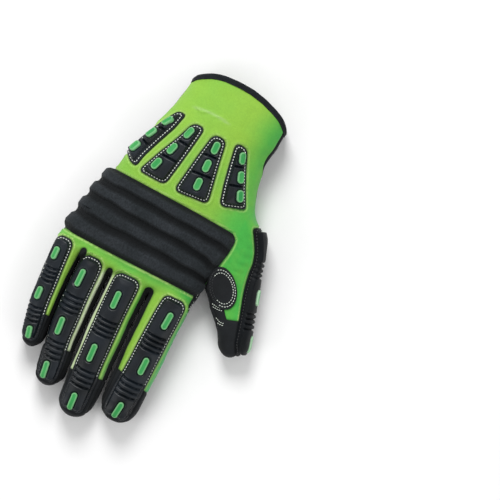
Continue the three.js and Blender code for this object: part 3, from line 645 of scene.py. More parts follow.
def finger_guard_outline(guard):
    edges, top, end = guard["edges"], guard["top"], guard["end"]
    turn = np.linspace(0, 1, 9)[:-1] * np.pi / 2
    back = turn[::-1]
    places = np.concatenate([top - TOP_ROUND * (1 - np.cos(turn)),
                             np.linspace(top - TOP_ROUND, end + END_ROUND, SIDE_POINTS),
                             end + END_ROUND * (1 - np.cos(back))])
    drawn_in = np.concatenate([TOP_ROUND * (1 - np.sin(turn)), np.zeros(SIDE_POINTS),
                               END_ROUND * (1 - np.sin(back))])
    left = edges.read("left", places) - STITCH_INSET + drawn_in
    right = edges.read("right", places) + STITCH_INSET - drawn_in
    return np.concatenate([np.stack([left, places], 1), np.stack([right, places], 1)[::-1]])


def hand_guard_outline(guard):
    return rounded([corner[:2] for corner in guard["corners"]], [corner[2] for corner in guard["corners"]])


def lengths_along(path):
    return np.concatenate([[0], np.cumsum(np.linalg.norm(np.diff(path, axis=0), axis=1))])


# Angles round the thumb with their lengths of arc, from the guard's lower edge
THUMB_ANGLE = np.linspace(THUMB_GUARD["lower_angle"], math.radians(130), 400)
THUMB_ARC = lengths_along(thumb.point(np.full(len(THUMB_ANGLE), 45.0), THUMB_ANGLE))


def thumb_guard_outline():
    places = np.linspace(THUMB_GUARD["top"], THUMB_GUARD["end"], 12)
    angle = thumb.angle_of(places, THUMB_GUARD["upper"].read("across", places), GUARD_RIM)
    upper = list(zip(np.interp(angle, THUMB_ANGLE, THUMB_ARC), places))
    lower = [(0.0, at) for at in places[::-1]]
    radii = [8] + [2] * 10 + [8]
    return rounded(upper + lower, radii + radii[::-1])


def tab_outline(x, at, lean, size):
    """A rounded oblong round one point. It leans by so many degrees."""
    width, length = size
    slant = math.radians(lean)
    turn = np.linspace(0, 2 * np.pi, 40, endpoint=False)
    across = width / 2 * np.cos(turn)
    along = width / 2 * np.sin(turn) + np.sign(np.sin(turn)) * (length - width) / 2
    return np.stack([x + across * math.cos(slant) - along * math.sin(slant),
                     at + across * math.sin(slant) + along * math.cos(slant)], 1)


def plan_seat(tube):
    """Gives the function that seats points of the plan on the back of the hand."""
    def seat(plan):
        at = tube.place_of(plan[:, 1], GUARD_RIM)
        return onto_hand(tube.point(at, tube.angle_of(at, plan[:, 0], GUARD_RIM)))
    return seat


def seen_from_above(seat, target, height):
    """The points of the plan that show at the target once they are raised."""
    plan = target.copy()
    for _ in range(5):
        base, normals = seat(plan)
        plan += 0.8 * (target - (base + normals * height)[:, :2])
    return plan


def thumb_seat(plan):
    """Seats a plan whose first value is the length of arc round the thumb and whose second runs along it."""
    at = thumb.place_of(plan[:, 1], GUARD_RIM)
    return onto_hand(thumb.point(at, np.interp(plan[:, 0], THUMB_ARC, THUMB_ANGLE)))


def trimmed_grid(outline, cell):
    """A flat grid of triangles, cut along an outline."""
    low, high = outline.min(0) - cell, outline.max(0) + cell
    count = np.ceil((high - low) / cell).astype(int) + 1
    x, y = np.meshgrid(*(low[i] + cell * np.arange(count[i]) for i in (0, 1)), indexing="ij")
    points = np.stack([x.ravel(), y.ravel()], 1)
    points, faces = cut_along(points, grid_faces(*x.shape), inset(points, outline))
    used, faces = in_use(faces[on_positive_side(faces, inset(points, outline))])
    return points[used], faces


def closed_shell(top, bottom, faces):
    """Two like skins joined by a wall along their edge: one closed body."""
    count = len(top)
    a, b = open_edges(faces).T
    wall = np.concatenate([np.stack([b, a, a + count], 1), np.stack([b, a + count, b + count], 1)])
    return np.concatenate([top, bottom]), np.concatenate([faces, faces[:, ::-1] + count, wall])


def boundary_loops(faces):
    """The open edges of a skin, as lists of point numbers in order."""
    onward = dict(open_edges(faces))
    loops = []
    while onward:
        start, here = onward.popitem()
        loop = [start]
        while here != start:
            loop.append(here)
            here = onward.pop(here)
        loops.append(np.array(loop))
    return loops


# Section of a guard. A pair of distances is where a form begins and where it is complete.
FLANGE = 1.25
FLANGE_EDGE, FLANGE_ROUND = 0.3, 0.6
STITCH_GROOVE, STITCH_GROOVE_WIDTH = 0.35, 0.5
POD_RISE, POD_EDGE = 3.3, (2.15, 3.4)
POD_CROWN, CROWN_EDGE = 0.45, (3.3, 8)
GROOVE_DEPTH, GROOVE_WIDTH, GROOVE_FADE = 2.3, 0.62, (2.1, 2.9)
LOWEST_OF_SLAB = 0.05
GUARD_CELL = 0.5
MOAT_DEPTH, MOAT_GAP, MOAT_WIDTH = 1.1, 0.2, 0.62      # round each insert
TAB_SUNK, TAB_RISE, TAB_DISH, TAB_ROOT = 0.15, 0.95, 0.3, 0.9
TAB_ROUND, TAB_LIP = 0.7, (0.6, 1.2)
TAB_DEPTH = 2.9              # inserts stand at least on the level found so far inside the edge
TAB_CELL = 0.36
STITCH_PITCH = 2.1
STITCH_RADIUS = 0.33


def round_edge(inside, width):
    """Rises from 0 to 1 as a quarter circle over the given width."""
    return np.sqrt(np.clip(1 - (1 - np.clip(inside / width, 0, 1)) ** 2, 0, 1))


def guard_level(depth):
    """Height of a guard over the fabric by the distance from its edge: a flange, and a pod within it."""
    rim = FLANGE_EDGE + (FLANGE - FLANGE_EDGE) * round_edge(depth, FLANGE_ROUND)
    rim -= STITCH_GROOVE * bell(depth - STITCH_INSET, STITCH_GROOVE_WIDTH)
    return rim + POD_RISE * smooth_step(*POD_EDGE, depth) + POD_CROWN * smooth_step(*CROWN_EDGE, depth)


def line_gap(plan, start, end):
    """Distance of each point of the plan from a straight line."""
    start, along = np.array(start, float), np.subtract(end, start).astype(float)
    along /= np.linalg.norm(along)
    away = plan - start
    return away[:, 0] * along[1] - away[:, 1] * along[0]


FINGER_FLEX = {"fade": (2.4, 3.4), "sag": 3.0}
THUMB_FLEX = {"fade": (0.1, 0.9), "sag": 0.0}
FLEX_SHARE = 0.34            # of the guard's height, which each flex groove takes away
FLEX_WIDTH = 0.72
HALF_OF_GUARD = 8.0


def guard_height(plan, outline, tabs, flex=(), grooves=(), bend=FINGER_FLEX):
    """Flex ribs cross a guard between grooves that bend towards the cuff at both ends."""
    depth = inset(plan, outline)
    height = guard_level(depth)
    bent = plan[:, 1] - bend["sag"] * (1 - np.clip(depth / HALF_OF_GUARD, 0, 1)) ** 2
    for at in flex:
        height *= 1 - FLEX_SHARE * bell(bent - at, FLEX_WIDTH) * smooth_step(*bend["fade"], depth)
    for start, end in grooves:
        across = bell(line_gap(plan, start, end), GROOVE_WIDTH)
        height -= GROOVE_DEPTH * across * smooth_step(*GROOVE_FADE, depth)
    for tab in tabs:
        height -= MOAT_DEPTH * bell(-inset(plan, tab) - MOAT_GAP, MOAT_WIDTH)
    return height


def flex_places(sets):
    return [first + i * pitch for first, pitch in sets for i in range(4)]


def raised(base, normals, height):
    return base + normals * np.reshape(height, (-1, 1))


def slab_piece(outline, seat, height_of, cell):
    plan, faces = trimmed_grid(outline, cell)
    base, normals = seat(plan)
    return closed_shell(raised(base, normals, height_of(plan)), raised(base, normals, LOWEST_OF_SLAB), faces)


def tab_piece(outline, seat, level):
    """A raised island with a painted highlight on its rim. Returns its points, faces and share of that
    highlight.
    """
    plan, faces = trimmed_grid(outline, TAB_CELL)
    depth, foot = inset(plan, outline), level(plan)
    height = foot - TAB_SUNK + TAB_RISE * round_edge(depth, TAB_ROUND)
    height -= TAB_DISH * smooth_step(*TAB_LIP, depth)
    base, normals = seat(plan)
    shell = closed_shell(raised(base, normals, height), raised(base, normals, foot - TAB_ROOT), faces)
    # The share of painted rim highlight, high near the island's edge
    return *shell, np.tile(smooth_step(1.1, 0.6, depth), 2)


PAD_TOP = 0.9
PAD_RISE = 4.0
PAD_CREASES = [(37, 32.2, 2.2), (25, 19, 3.0), (13.6, 5.4, 2.4), (0, -5, 1.3), (-14.8, -18.6, 0.8)]
PAD_RIGHT = Table("at x", [33.5, 37], [32.2, 40.5], [30, 43.3], [27, 44.4], [20, 44], [12, 42.5], [3, 40.5],
                  [-5, 39], [-12, 38], [-18.4, 36.6])
PAD_LEFT_ANGLE = math.pi + 0.13
PAD_ROWS = 128
PAD_COLUMNS = 180
PAD_RIBS = 4
PAD_SPAN = 118      # millimetres round the hand
PAD_GROOVE = 0.17   # of a rib's width
PAD_EDGE = 0.25
PAD_INTO_CLOTH = 0.2
PAD_SWAY = 0.03     # of a rib's width
PAD_PUCKERS = 0.16
PAD_THUMB_HALF = (0.5, 0.65)


def pad_grid():
    """Rows across the hand, from the cuff's side to the fingers' side. Returns shares, rows and places."""
    share, row = np.meshgrid(np.linspace(0, 1, PAD_COLUMNS), np.linspace(0, PAD_RIBS, PAD_ROWS))
    places = np.array([left + (right - left) * share ** bend for left, right, bend in PAD_CREASES])
    band = np.clip(row.astype(int), 0, PAD_RIBS - 1)
    part = row - band
    low = np.take_along_axis(places, band[None], 0)[0]
    high = np.take_along_axis(places, band[None] + 1, 0)[0]
    return share, row, low + (high - low) * part


def at_height(plan, height):
    return np.concatenate([plan, np.full((len(plan), 1), height)], 1)


def dropped(plan):
    """Points of the hand's back right under points of the plane."""
    points = at_height(plan, 50.0)
    for _ in range(40):
        points[:, 2] -= 0.8 * hand_distance(*points.T)
    return points


def pad_places(share, at):
    """Where the grid's points lie on the palm's tube: their places along it and their angles."""
    place = palm.place_of(at, PAD_TOP)
    right = palm.angle_of(place, PAD_RIGHT.read("x", at), PAD_TOP)
    return place, PAD_LEFT_ANGLE + (right - PAD_LEFT_ANGLE) * share


def knuckle_pad():
    """The padded pad with its swaying valleys. Returns its points, faces and share of painted valley shade.
    """
    share, row, at = pad_grid()
    shape = share.shape
    place, angle = pad_places(share, at)
    base, _ = onto_hand(palm.point(place.ravel(), angle.ravel()))
    share, row = share.ravel(), row.ravel()
    thumb_half = smooth_step(*PAD_THUMB_HALF, share)
    plan = palm.point(place, angle, PAD_TOP)[:, :, :2].reshape(-1, 2)
    under = thumb_half > 0
    base[under] += thumb_half[under, None] * (dropped(plan[under]) - base[under])
    base, normals = onto_hand(base, 1)
    across = share * PAD_SPAN
    outer = np.minimum(row, PAD_RIBS - row)
    sway = np.sin(across * 0.115 + 2.1 * np.round(row)) + 0.6 * np.sin(across * 0.31 + row)
    swayed = row + PAD_SWAY * sway * smooth_step(0.15, 0.6, outer)
    phase = np.abs(swayed - np.round(swayed))
    rib = smooth_step(PAD_GROOVE * 0.5, PAD_GROOVE * 1.9, phase)
    rib *= 0.85 + 0.15 * np.sin(np.pi * phase) ** 0.5
    ends = smooth_step(-0.5, 5.5, across) * smooth_step(-0.5, 7.5, PAD_SPAN - across)
    flatter = smooth_step(26, 4, across)
    lift = (0.2 + 0.35 * flatter) * smooth_step(0, 0.15, outer) + (0.8 - 0.35 * flatter) * rib
    puckers = np.sin(across * 1.9 + 2.2 * np.sin(across * 0.31)) * bell(phase - 0.16, 0.12)
    height = PAD_TOP * smooth_step(0, 0.07, outer) + PAD_RISE * lift + PAD_PUCKERS * puckers
    height = PAD_EDGE + height * ends
    # Painted shade in the grooves between the ribs and at the pad's outer rows
    valley_shade = np.clip(0.95 * (1 - rib) + 0.9 * smooth_step(0.1, 0.02, outer), 0, 1)
    top, bottom = raised(base, normals, height), raised(base, normals, -PAD_INTO_CLOTH)
    return *closed_shell(top, bottom, grid_faces(*shape)), np.tile(valley_shade, 2)


# Relief of the fabric: seams sink in, cloth swells beside what is sewn on, and folds cross the flexing places
FOLDS = [   # from x, y to x, y; width, depth, which is negative where the cloth rises
    (-24, 99, -8, 100.5, 0.9, -0.6), (-8, 100.5, 6, 99.4, 0.9, -0.6), (-30, 108, -8, 112, 3.5, -0.3),
    (46, 30, 58, 27, 1.5, 0.35), (45, 24, 61, 20, 1.6, 0.4), (46, 18, 62, 13, 1.6, 0.35),
    (46, 12.5, 60, 8.5, 1.4, 0.3), (47, 37, 56, 34, 1.5, 0.3), (42, 84, 50, 76, 2.2, 0.5),
    (-60, -20.5, -40, -19.5, 1.2, 0.3), (-24, -21, -2, -21.5, 1.1, 0.25), (12, -22, 34, -21.5, 1.1, 0.25),
    (-46, 80, -38, 72, 2.0, 0.4), (44, 66, 50, 58, 2.0, 0.45), (66, -8, 70, -14, 1.4, 0.3),
]
UNDERSIDE_FOLDS = [
    (-44, 60, -10, 66, 2.4, 0.8), (-10, 66, 30, 58, 2.4, 0.7), (-48, -33, -20, -31, 2.0, 0.5),
    (-62, 20, -58, -8, 2.2, 0.6), (30, 30, 36, 2, 2.6, 0.8), (-30, 88, 20, 92, 3.0, 0.6),
]


# Ridges and grooves along the seams and round what is sewn on: height, distance from the line, width
SEAM_FORMS = [(-0.5, 0.0, 0.75), (0.22, 2.2, 1.3)]
SEWN_FORMS = [(0.35, -1.8, 1.1), (-0.35, -0.3, 0.6)]
UNEVENNESS = [(0.22, 26, 4), (0.08, 9, 7)]     # height, length of the waves, seed
SUNK_UNDER_PARTS = 0.12


def fold_relief(points, folds):
    """Height of the fabric over its plain surface where it folds."""
    depth = np.zeros(len(points))
    for x0, y0, x1, y1, width, amount in folds:
        start, side = np.array([x0, y0], float), np.array([x1 - x0, y1 - y0], float)
        length = np.linalg.norm(side)
        away = points[:, :2] - start
        along = away @ side / length
        across = (away[:, 0] * side[1] - away[:, 1] * side[0]) / length
        across += 1.2 * np.sin(along * 0.42 + x0)
        fade = smooth_step(-4, 5, along) * smooth_step(-4, 5, length - along)
        depth -= amount * fade * (bell(across, width) - 0.5 * bell(np.abs(across) - 2 * width, width))
    return depth


def swell(points, size, seed):
    """Soft unevenness: a few long waves in directions drawn from the seed."""
    draw = np.random.default_rng(seed)
    total = np.zeros(len(points))
    for _ in range(9):
        direction = unit(draw.normal(size=(1, 3)))[0]
        length = size * draw.uniform(0.6, 1.6)
        total += np.sin(points @ direction * 2 * np.pi / length + draw.uniform(0, 6.28))
    return total / 3


def pad_outline():
    """The pad's border in the plan, closed by a line well beyond the little finger's side."""
    share, _, at = pad_grid()
    place, angle = pad_places(share, at)
    plan = palm.point(place, np.minimum(angle, math.pi), GUARD_RIM)[:, :, :2]
    border = np.concatenate([plan[0, ::8], plan[::8, -1], plan[-1, ::-8]])
    low, high = border[-1], border[0]
    return np.concatenate([border, [[-90, low[1]], [-90, high[1]]]])


THUMB_RADIUS = 14
FAR_AWAY = 200
REACH_OF_PARTS = 8           # how far from a sewn-on part its distance matters
LOWEST_OF_BACK = 12


def sewn_on():
    """Outlines of what is sewn on the back: each with the way from a fabric point to its plan."""
    def flat(points, normals):
        return (points + normals * GUARD_RIM)[:, :2]

    def round_thumb(points, normals):
        across, along = thumb.local(points[:, 0], points[:, 1])
        middle, half_width, centre, half_height = thumb.section(along)
        u, v = (across - middle) / half_width, (points[:, 2] - centre) / half_height
        power = np.where(v >= 0, TOP_ROUNDNESS, UNDERSIDE_ROUNDNESS)
        angle = np.arctan2(signed_power(v, 1 / power), signed_power(u, 1 / power))
        past = angle - THUMB_ANGLE[0]
        arc = np.where(past < 0, past * THUMB_RADIUS, np.interp(angle, THUMB_ANGLE, THUMB_ARC))
        far = (across < -8) | (points[:, 0] < 38)
        return np.stack([np.where(far, FAR_AWAY, arc), along], 1)

    outlines = [(finger_guard_outline(guard), flat) for guard in FINGER_GUARDS.values()]
    outlines += [(hand_guard_outline(guard), flat) for guard in HAND_GUARDS.values()]
    return outlines + [(pad_outline(), flat), (thumb_guard_outline(), round_thumb)]


def distance_to_sewn(points, normals):
    """How far inside the nearest sewn-on part a point of the fabric lies. Negative outside."""
    nearest = np.full(len(points), -20.0)
    back = points[:, 2] > np.where(points[:, 0] > 45, 0, LOWEST_OF_BACK)
    for outline, to_plan in sewn_on():
        plan = to_plan(points, normals)
        low, high = outline.min(0) - REACH_OF_PARTS, outline.max(0) + REACH_OF_PARTS
        near = back & ((plan > low) & (plan < high)).all(1)
        nearest[near] = np.maximum(nearest[near], inset(plan[near], outline))
    return nearest


def nearest_seam(points):
    """Distance from the nearest of the fabric's seams. The strips' edges count on the back only."""
    lines = [above_seam(points), in_tip(points), in_thumb_tip(points)]
    lines += [np.where(points[:, 2] > 9, in_strip(points, name), 9.0) for name in STRIPS]
    return np.minimum.reduce([np.abs(line) for line in lines])


def fabric_relief(points, seam, to_sewn):
    """Height of the fabric over its plain surface, calmer where it lies on the floor."""
    lines = [(seam, form) for form in SEAM_FORMS] + [(to_sewn, form) for form in SEWN_FORMS]
    relief = sum(height * bell(line - place, width) for line, (height, place, width) in lines)
    back = smooth_step(8, 14, points[:, 2])
    relief += back * fold_relief(points, FOLDS) + (1 - back) * fold_relief(points, UNDERSIDE_FOLDS)
    relief += sum(height * swell(points, length, seed) for height, length, seed in UNEVENNESS)
    relief *= 1 - 0.7 * smooth_step(3.5, 1.6, points[:, 2])
    under = smooth_step(-1.2, 0.4, to_sewn)
    return relief * (1 - under) - SUNK_UNDER_PARTS * under


# Meshes, threads and tapes
def srgb(red, green, blue):
    return tuple((c / 255 / 12.92 if c / 255 <= 0.04045 else ((c / 255 + 0.055) / 1.055) ** 2.4)
                 for c in (red, green, blue)) + (1.0,)


def placed(name, data):
    """A new object in the scene."""
    made = bpy.data.objects.new(name, data)
    bpy.context.scene.collection.objects.link(made)
    return made


def make_piece(name, points, faces, material, nodes=(), slot=None, sharp=50, attributes=None):
    """One piece of the glove. Faces that look inward all together are turned round first."""
    corners = points[faces]
    if (np.cross(corners[:, 0], corners[:, 1]) * corners[:, 2]).sum() < 0:
        faces = faces[:, ::-1]
    mesh = bpy.data.meshes.new(name)
    count = len(faces)
    mesh.vertices.add(len(points))
    mesh.vertices.foreach_set("co", ((points - HAND_MIDDLE) * MM).astype(np.float32).ravel())
    mesh.loops.add(3 * count)
    mesh.loops.foreach_set("vertex_index", faces.astype(np.int32).ravel())
    mesh.polygons.add(count)
    mesh.polygons.foreach_set("loop_start", np.arange(0, 3 * count, 3, dtype=np.int32))
    mesh.update(calc_edges=True)
    mesh.validate()
    for key, values in (attributes or {}).items():
        layer = mesh.attributes.new(key, "FLOAT", "POINT")
        layer.data.foreach_set("value", np.asarray(values, np.float32))
    mesh.shade_smooth()
    mesh.set_sharp_from_angle(angle=math.radians(sharp))
    mesh.materials.append(material)
    piece = placed(name, mesh)
    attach(piece, "root")
    if nodes:
        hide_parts(*nodes)
    return piece


def resampled(path, pitch):
    """Points at an even pitch along a path."""
    length = lengths_along(path)
    count = max(2, int(round(length[-1] / pitch)) + 1)
    at = np.linspace(0, length[-1], count)
    return np.stack([np.interp(at, length, path[:, i]) for i in range(path.shape[1])], 1)


STITCH_SIDES = 6
STITCH_STATIONS = np.array([0, 0.07, 0.25, 0.5, 0.75, 0.93, 1])
STITCH_GIRTH = np.array([0.25, 0.8, 1, 1, 1, 0.8, 0.25])
STITCH_LIFT = np.array([-0.9, -0.25, 0.75, 1, 0.75, -0.25, -0.9])
STITCH_SHARE = 0.64      # of the pitch


def stitch_row(path, normals, radius):
    """Separate short threads along a path, each dipping into the cloth at both ends."""
    starts, ends = path[:-1], path[1:]
    up = unit(normals[:-1] + normals[1:])
    step = ends - starts
    length = np.linalg.norm(step, axis=1, keepdims=True)
    forward = step / np.maximum(length, 1e-9)
    sideways = unit(np.cross(forward, up))
    up = np.cross(sideways, forward)
    turn = np.linspace(0, 2 * np.pi, STITCH_SIDES, endpoint=False)
    rings = []
    for station, girth, rise in zip(STITCH_STATIONS, STITCH_GIRTH, STITCH_LIFT):
        centre = starts + step * (0.5 + (station - 0.5) * STITCH_SHARE) + up * (rise * radius * 0.9)
        for angle in turn:
            rings.append(centre + radius * girth * (math.cos(angle) * sideways + math.sin(angle) * up))
    rings = np.stack(rings, 1)
    stations = len(STITCH_STATIONS)
    ends_at = np.stack([rings[:, :STITCH_SIDES].mean(1), rings[:, -STITCH_SIDES:].mean(1)], 1)
    points = np.concatenate([rings, ends_at], 1)
    size = points.shape[1]
    pattern = []
    for i in range(stations - 1):
        for j in range(STITCH_SIDES):
            a, b = i * STITCH_SIDES + j, i * STITCH_SIDES + (j + 1) % STITCH_SIDES
            pattern += [(a, b, b + STITCH_SIDES), (a, b + STITCH_SIDES, a + STITCH_SIDES)]
    last = (stations - 1) * STITCH_SIDES
    for j in range(STITCH_SIDES):
        k = (j + 1) % STITCH_SIDES
        pattern += [(size - 2, k, j), (size - 1, last + j, last + k)]
    faces = np.array(pattern)[None] + size * np.arange(len(points))[:, None, None]
    return points.reshape(-1, 3), faces.reshape(-1, 3)


def joined(rows):
    """Rows of stitches as one mesh, without the points that none of its faces uses."""
    points, faces, count = [], [], 0
    for row_points, row_faces in rows:
        points.append(row_points)
        faces.append(row_faces + count)
        count += len(row_points)
    used, faces = in_use(np.concatenate(faces))
    return np.concatenate(points)[used], faces


def stitches_on(seat, plan_path, level, pitch, radius):
    """A row of stitches along a path drawn in a plan, at the given height over the fabric."""
    base, normals = seat(resampled(plan_path, pitch))
    return stitch_row(raised(base, normals, level), normals, radius)


def closed(path):
    return np.concatenate([path, path[:1]])


def parallel_line(outline, gap):
    """The closed line that runs at a gap inside an outline."""
    plan, faces = trimmed_grid(outline, GUARD_CELL)
    return closed(max(paths_along(plan, faces, inset(plan, outline) - gap), key=len))


def swept(path, sideways, outward, profile):
    """A profile, given as steps sideways and outward, drawn along a closed path."""
    rings = path[:, None] + sideways[:, None] * profile[None, :, :1] + outward[:, None] * profile[None, :, 1:]
    count, size = rings.shape[:2]
    faces = []
    for i in range(count):
        here, there = i * size + np.arange(size), (i + 1) % count * size + np.arange(size)
        faces.append(np.stack([here, np.roll(here, -1), np.roll(there, -1)], 1))
        faces.append(np.stack([here, np.roll(there, -1), there], 1))
    return rings.reshape(-1, 3), np.concatenate(faces)


# Materials
WAVE_SCALE = 314.0      # the wave texture's scale at which one wave is a millimetre long


class Shader:
    """A node material under construction. Lengths are given in millimetres."""

    def __init__(self, name, roughness, sheen=0.0, specular=0.5):
        self.material = bpy.data.materials.new(name)
        self.material.use_nodes = True
        self.nodes, self.links = self.material.node_tree.nodes, self.material.node_tree.links
        self.surface = self.nodes["Principled BSDF"]
        self.set(self.surface, Roughness=roughness, Sheen_Weight=sheen, Sheen_Roughness=0.5,
                 Specular_IOR_Level=specular)
        self.place = self.nodes.new("ShaderNodeTexCoord").outputs["Object"]

    def give(self, entry, value):
        """Links an entry to a socket, or sets it to a plain value."""
        if isinstance(value, bpy.types.NodeSocket):
            self.links.new(value, entry)
        else:
            entry.default_value = value

    def node(self, kind, **settings):
        made = self.nodes.new("ShaderNode" + kind)
        for key, value in settings.items():
            setattr(made, key, value)
        return made

    def set(self, node, **values):
        for key, value in values.items():
            self.give(node.inputs[key.replace("_", " ")], value)
        return node

    def math(self, operation, a, b):
        made = self.node("Math", operation=operation)
        for entry, value in zip(made.inputs, (a, b)):
            self.give(entry, value)
        return made.outputs[0]

    def scaled_place(self, stretch=(1, 1, 1)):
        return self.set(self.node("Mapping"), Vector=self.place, Scale=stretch).outputs[0]

    def noise(self, size, detail=3.0, stretch=(1, 1, 1), roughness=0.5):
        made = self.set(self.node("TexNoise"), Vector=self.scaled_place(stretch), Scale=1000 / size,
                        Detail=detail, Roughness=roughness)
        return made.outputs["Fac"]

    def cells(self, size):
        made = self.set(self.node("TexVoronoi", feature="F1"), Vector=self.scaled_place(), Scale=1000 / size)
        return made.outputs["Distance"]

    def waves(self, size, direction, distortion=0.0):
        made = self.node("TexWave", wave_type="BANDS", bands_direction=direction, wave_profile="SIN")
        self.set(made, Vector=self.scaled_place(), Scale=WAVE_SCALE / size, Distortion=distortion, Detail=1.0)
        return made.outputs["Fac"]

    def weave(self, size, distortion=0.0):
        """Two sets of waves that cross."""
        return self.math("MULTIPLY", self.waves(size, "X", distortion), self.waves(size, "Y", distortion))

    def attribute(self, name):
        return self.node("Attribute", attribute_name=name).outputs["Fac"]

    def range(self, value, low, high, to_low=0.0, to_high=1.0):
        return self.set(self.node("MapRange"), Value=value, From_Min=low, From_Max=high,
                        To_Min=to_low, To_Max=to_high).outputs["Result"]

    def mixed(self, share, a, b, blend="MIX"):
        made = self.node("Mix", data_type="RGBA", blend_type=blend)
        entries = [made.inputs[0]] + [entry for entry in made.inputs if entry.type == "RGBA"]
        for entry, value in zip(entries, (share, a, b)):
            self.give(entry, value)
        return [output for output in made.outputs if output.type == "RGBA"][0]

    def shaded(self, colour, share):
        """A colour made lighter or darker by a factor."""
        grey = self.set(self.node("CombineColor"), Red=share, Green=share, Blue=share).outputs[0]
        return self.mixed(1.0, colour, grey, "MULTIPLY")

    def valley_shaded(self, colour, depth, strength):
        """A colour that turns to a painted shade colour in the seams and valleys."""
        return self.mixed(self.range(self.attribute("valley_shade"), 0, 1, 0, strength), colour, depth)

    def colour(self, value):
        self.set(self.surface, Base_Color=value)

    def roughness(self, value):
        self.set(self.surface, Roughness=value)

    def bumps(self, *layers):
        """Each layer is (height, depth in millimetres)."""
        normal = None
        for height, depth in layers:
            bump = self.set(self.node("Bump"), Height=height, Strength=1.0, Distance=depth * MM)
            if normal is not None:
                self.set(bump, Normal=normal)
            normal = bump.outputs["Normal"]
        self.set(self.surface, Normal=normal)


def lime_fabric():
    s = Shader("lime_fabric", 0.72, 0.08, 0.3)
    patches = s.noise(22, 3)
    # Painted shade: the lime turns green, then a cool green, where the cloth turns away from the light
    base = s.mixed(s.range(s.attribute("shade_tone"), 0, 1), srgb(139, 189, 64), srgb(66, 172, 66))
    base = s.mixed(s.range(s.attribute("shade_tone"), 1, 2), base, srgb(84, 180, 116))
    base = s.mixed(s.range(patches, 0.42, 0.75, 0, 0.35), base, srgb(150, 190, 54))
    # Painted highlight: near white along the middle finger's sides and along a crease of the cuff
    base = s.mixed(s.attribute("highlight_paint"), base, srgb(222, 230, 204))
    # Painted highlight: light lime just outside the edges of the sewn-on parts
    base = s.mixed(s.attribute("edge_highlight"), base, srgb(188, 224, 130))
    # Painted shade: dark green in the seams and at the edges of the sewn-on parts
    base = s.mixed(s.attribute("valley_shade"), base, srgb(14, 46, 20))
    thread = s.weave(0.75)
    fuzz = s.noise(0.5, 4)
    grain = s.noise(1.7, 3, (1, 1, 1), 0.7)
    shade = s.math("ADD", s.range(thread, 0, 1, 0.9, 1.06), s.range(fuzz, 0.3, 0.7, -0.05, 0.05))
    shade = s.math("ADD", shade, s.range(grain, 0.3, 0.7, -0.05, 0.05))
    s.colour(s.shaded(base, shade))
    s.roughness(s.range(fuzz, 0.3, 0.7, 0.62, 0.82))
    s.bumps((patches, 0.35), (s.noise(4.5, 3), 0.12), (thread, 0.05), (fuzz, 0.04))
    return s.material


def suede(name, dark, light, grain=0.55, roughness=0.88):
    s = Shader(name, roughness, 0.03, 0.22)
    patches, fine = s.noise(14, 4), s.noise(grain, 4)
    base = s.mixed(s.range(patches, 0.35, 0.68), dark, light)
    base = s.mixed(s.range(fine, 0.45, 0.75, 0, 0.55), base, light)
    # Painted shade: near black in the seams and valleys
    s.colour(s.valley_shaded(base, srgb(8, 9, 10), 0.8))
    s.roughness(s.range(fine, 0.3, 0.7, roughness - 0.1, roughness + 0.08))
    s.bumps((patches, 0.3), (s.cells(grain * 2.2), 0.07), (fine, 0.06))
    return s.material


def knit(name, dark, light, pitch=0.8, roughness=0.85, mottle=9, speckle=0.0):
    s = Shader(name, roughness, 0.04, 0.2)
    rows = s.weave(pitch, 0.6)
    patches, fuzz = s.noise(mottle, 4), s.noise(0.45, 4)
    base = s.mixed(s.range(patches, 0.38, 0.66), dark, light)
    base = s.mixed(s.range(rows, 0.2, 0.9, 0, 0.5), base, light)
    grain = s.noise(1.5, 2, (1.6, 0.8, 1), 0.7)
    base = s.shaded(base, s.range(grain, 0.3, 0.7, 1 - speckle, 1 + speckle))
    # Painted shade: near black in the seams and valleys
    s.colour(s.valley_shaded(base, srgb(7, 9, 10), 0.85))
    s.roughness(s.range(fuzz, 0.3, 0.7, roughness - 0.08, roughness + 0.08))
    s.bumps((s.noise(3.5, 3), 0.1), (grain, speckle * 0.5), (rows, 0.08), (fuzz, 0.05))
    return s.material


def rubber(name, dark, light, roughness, wear_and_rim_highlight, rim_highlighted=False, gloss=0.32):
    s = Shader(name, roughness, 0.0, gloss)
    smears, fine, scuffs = s.noise(16, 3), s.noise(0.35, 3), s.noise(1.6, 5, (1, 5, 1))
    base = s.mixed(s.range(smears, 0.35, 0.7), dark, light)
    base = s.mixed(s.range(scuffs, 0.62, 0.78, 0, 0.35), base, wear_and_rim_highlight)
    # Painted highlight: with a rim share, the rims take the same light colour as the scuffs, which are wear
    s.colour(s.mixed(s.attribute("rim"), base, wear_and_rim_highlight) if rim_highlighted else base)
    s.roughness(s.math("ADD", s.range(smears, 0.3, 0.7, roughness - 0.06, roughness + 0.06),
                       s.range(scuffs, 0.6, 0.75, 0, 0.12)))
    s.bumps((s.noise(5, 2), 0.08), (fine, 0.025))
    return s.material


def thread(name, colour, shaded):
    s = Shader(name, 0.6, 0.3)
    ply = s.waves(0.35, "DIAGONAL")
    s.colour(s.mixed(s.range(ply, 0, 1, 0, 0.6), colour, shaded))
    s.bumps((ply, 0.03), (s.noise(0.25, 3), 0.02))
    return s.material


def floor_paper():
    s = Shader("studio_floor", 0.85)
    s.colour(s.mixed(s.range(s.noise(60, 3), 0.3, 0.7), srgb(243, 243, 243), srgb(247, 247, 247)))
    s.bumps((s.noise(1.2, 3), 0.01))
    return s.material


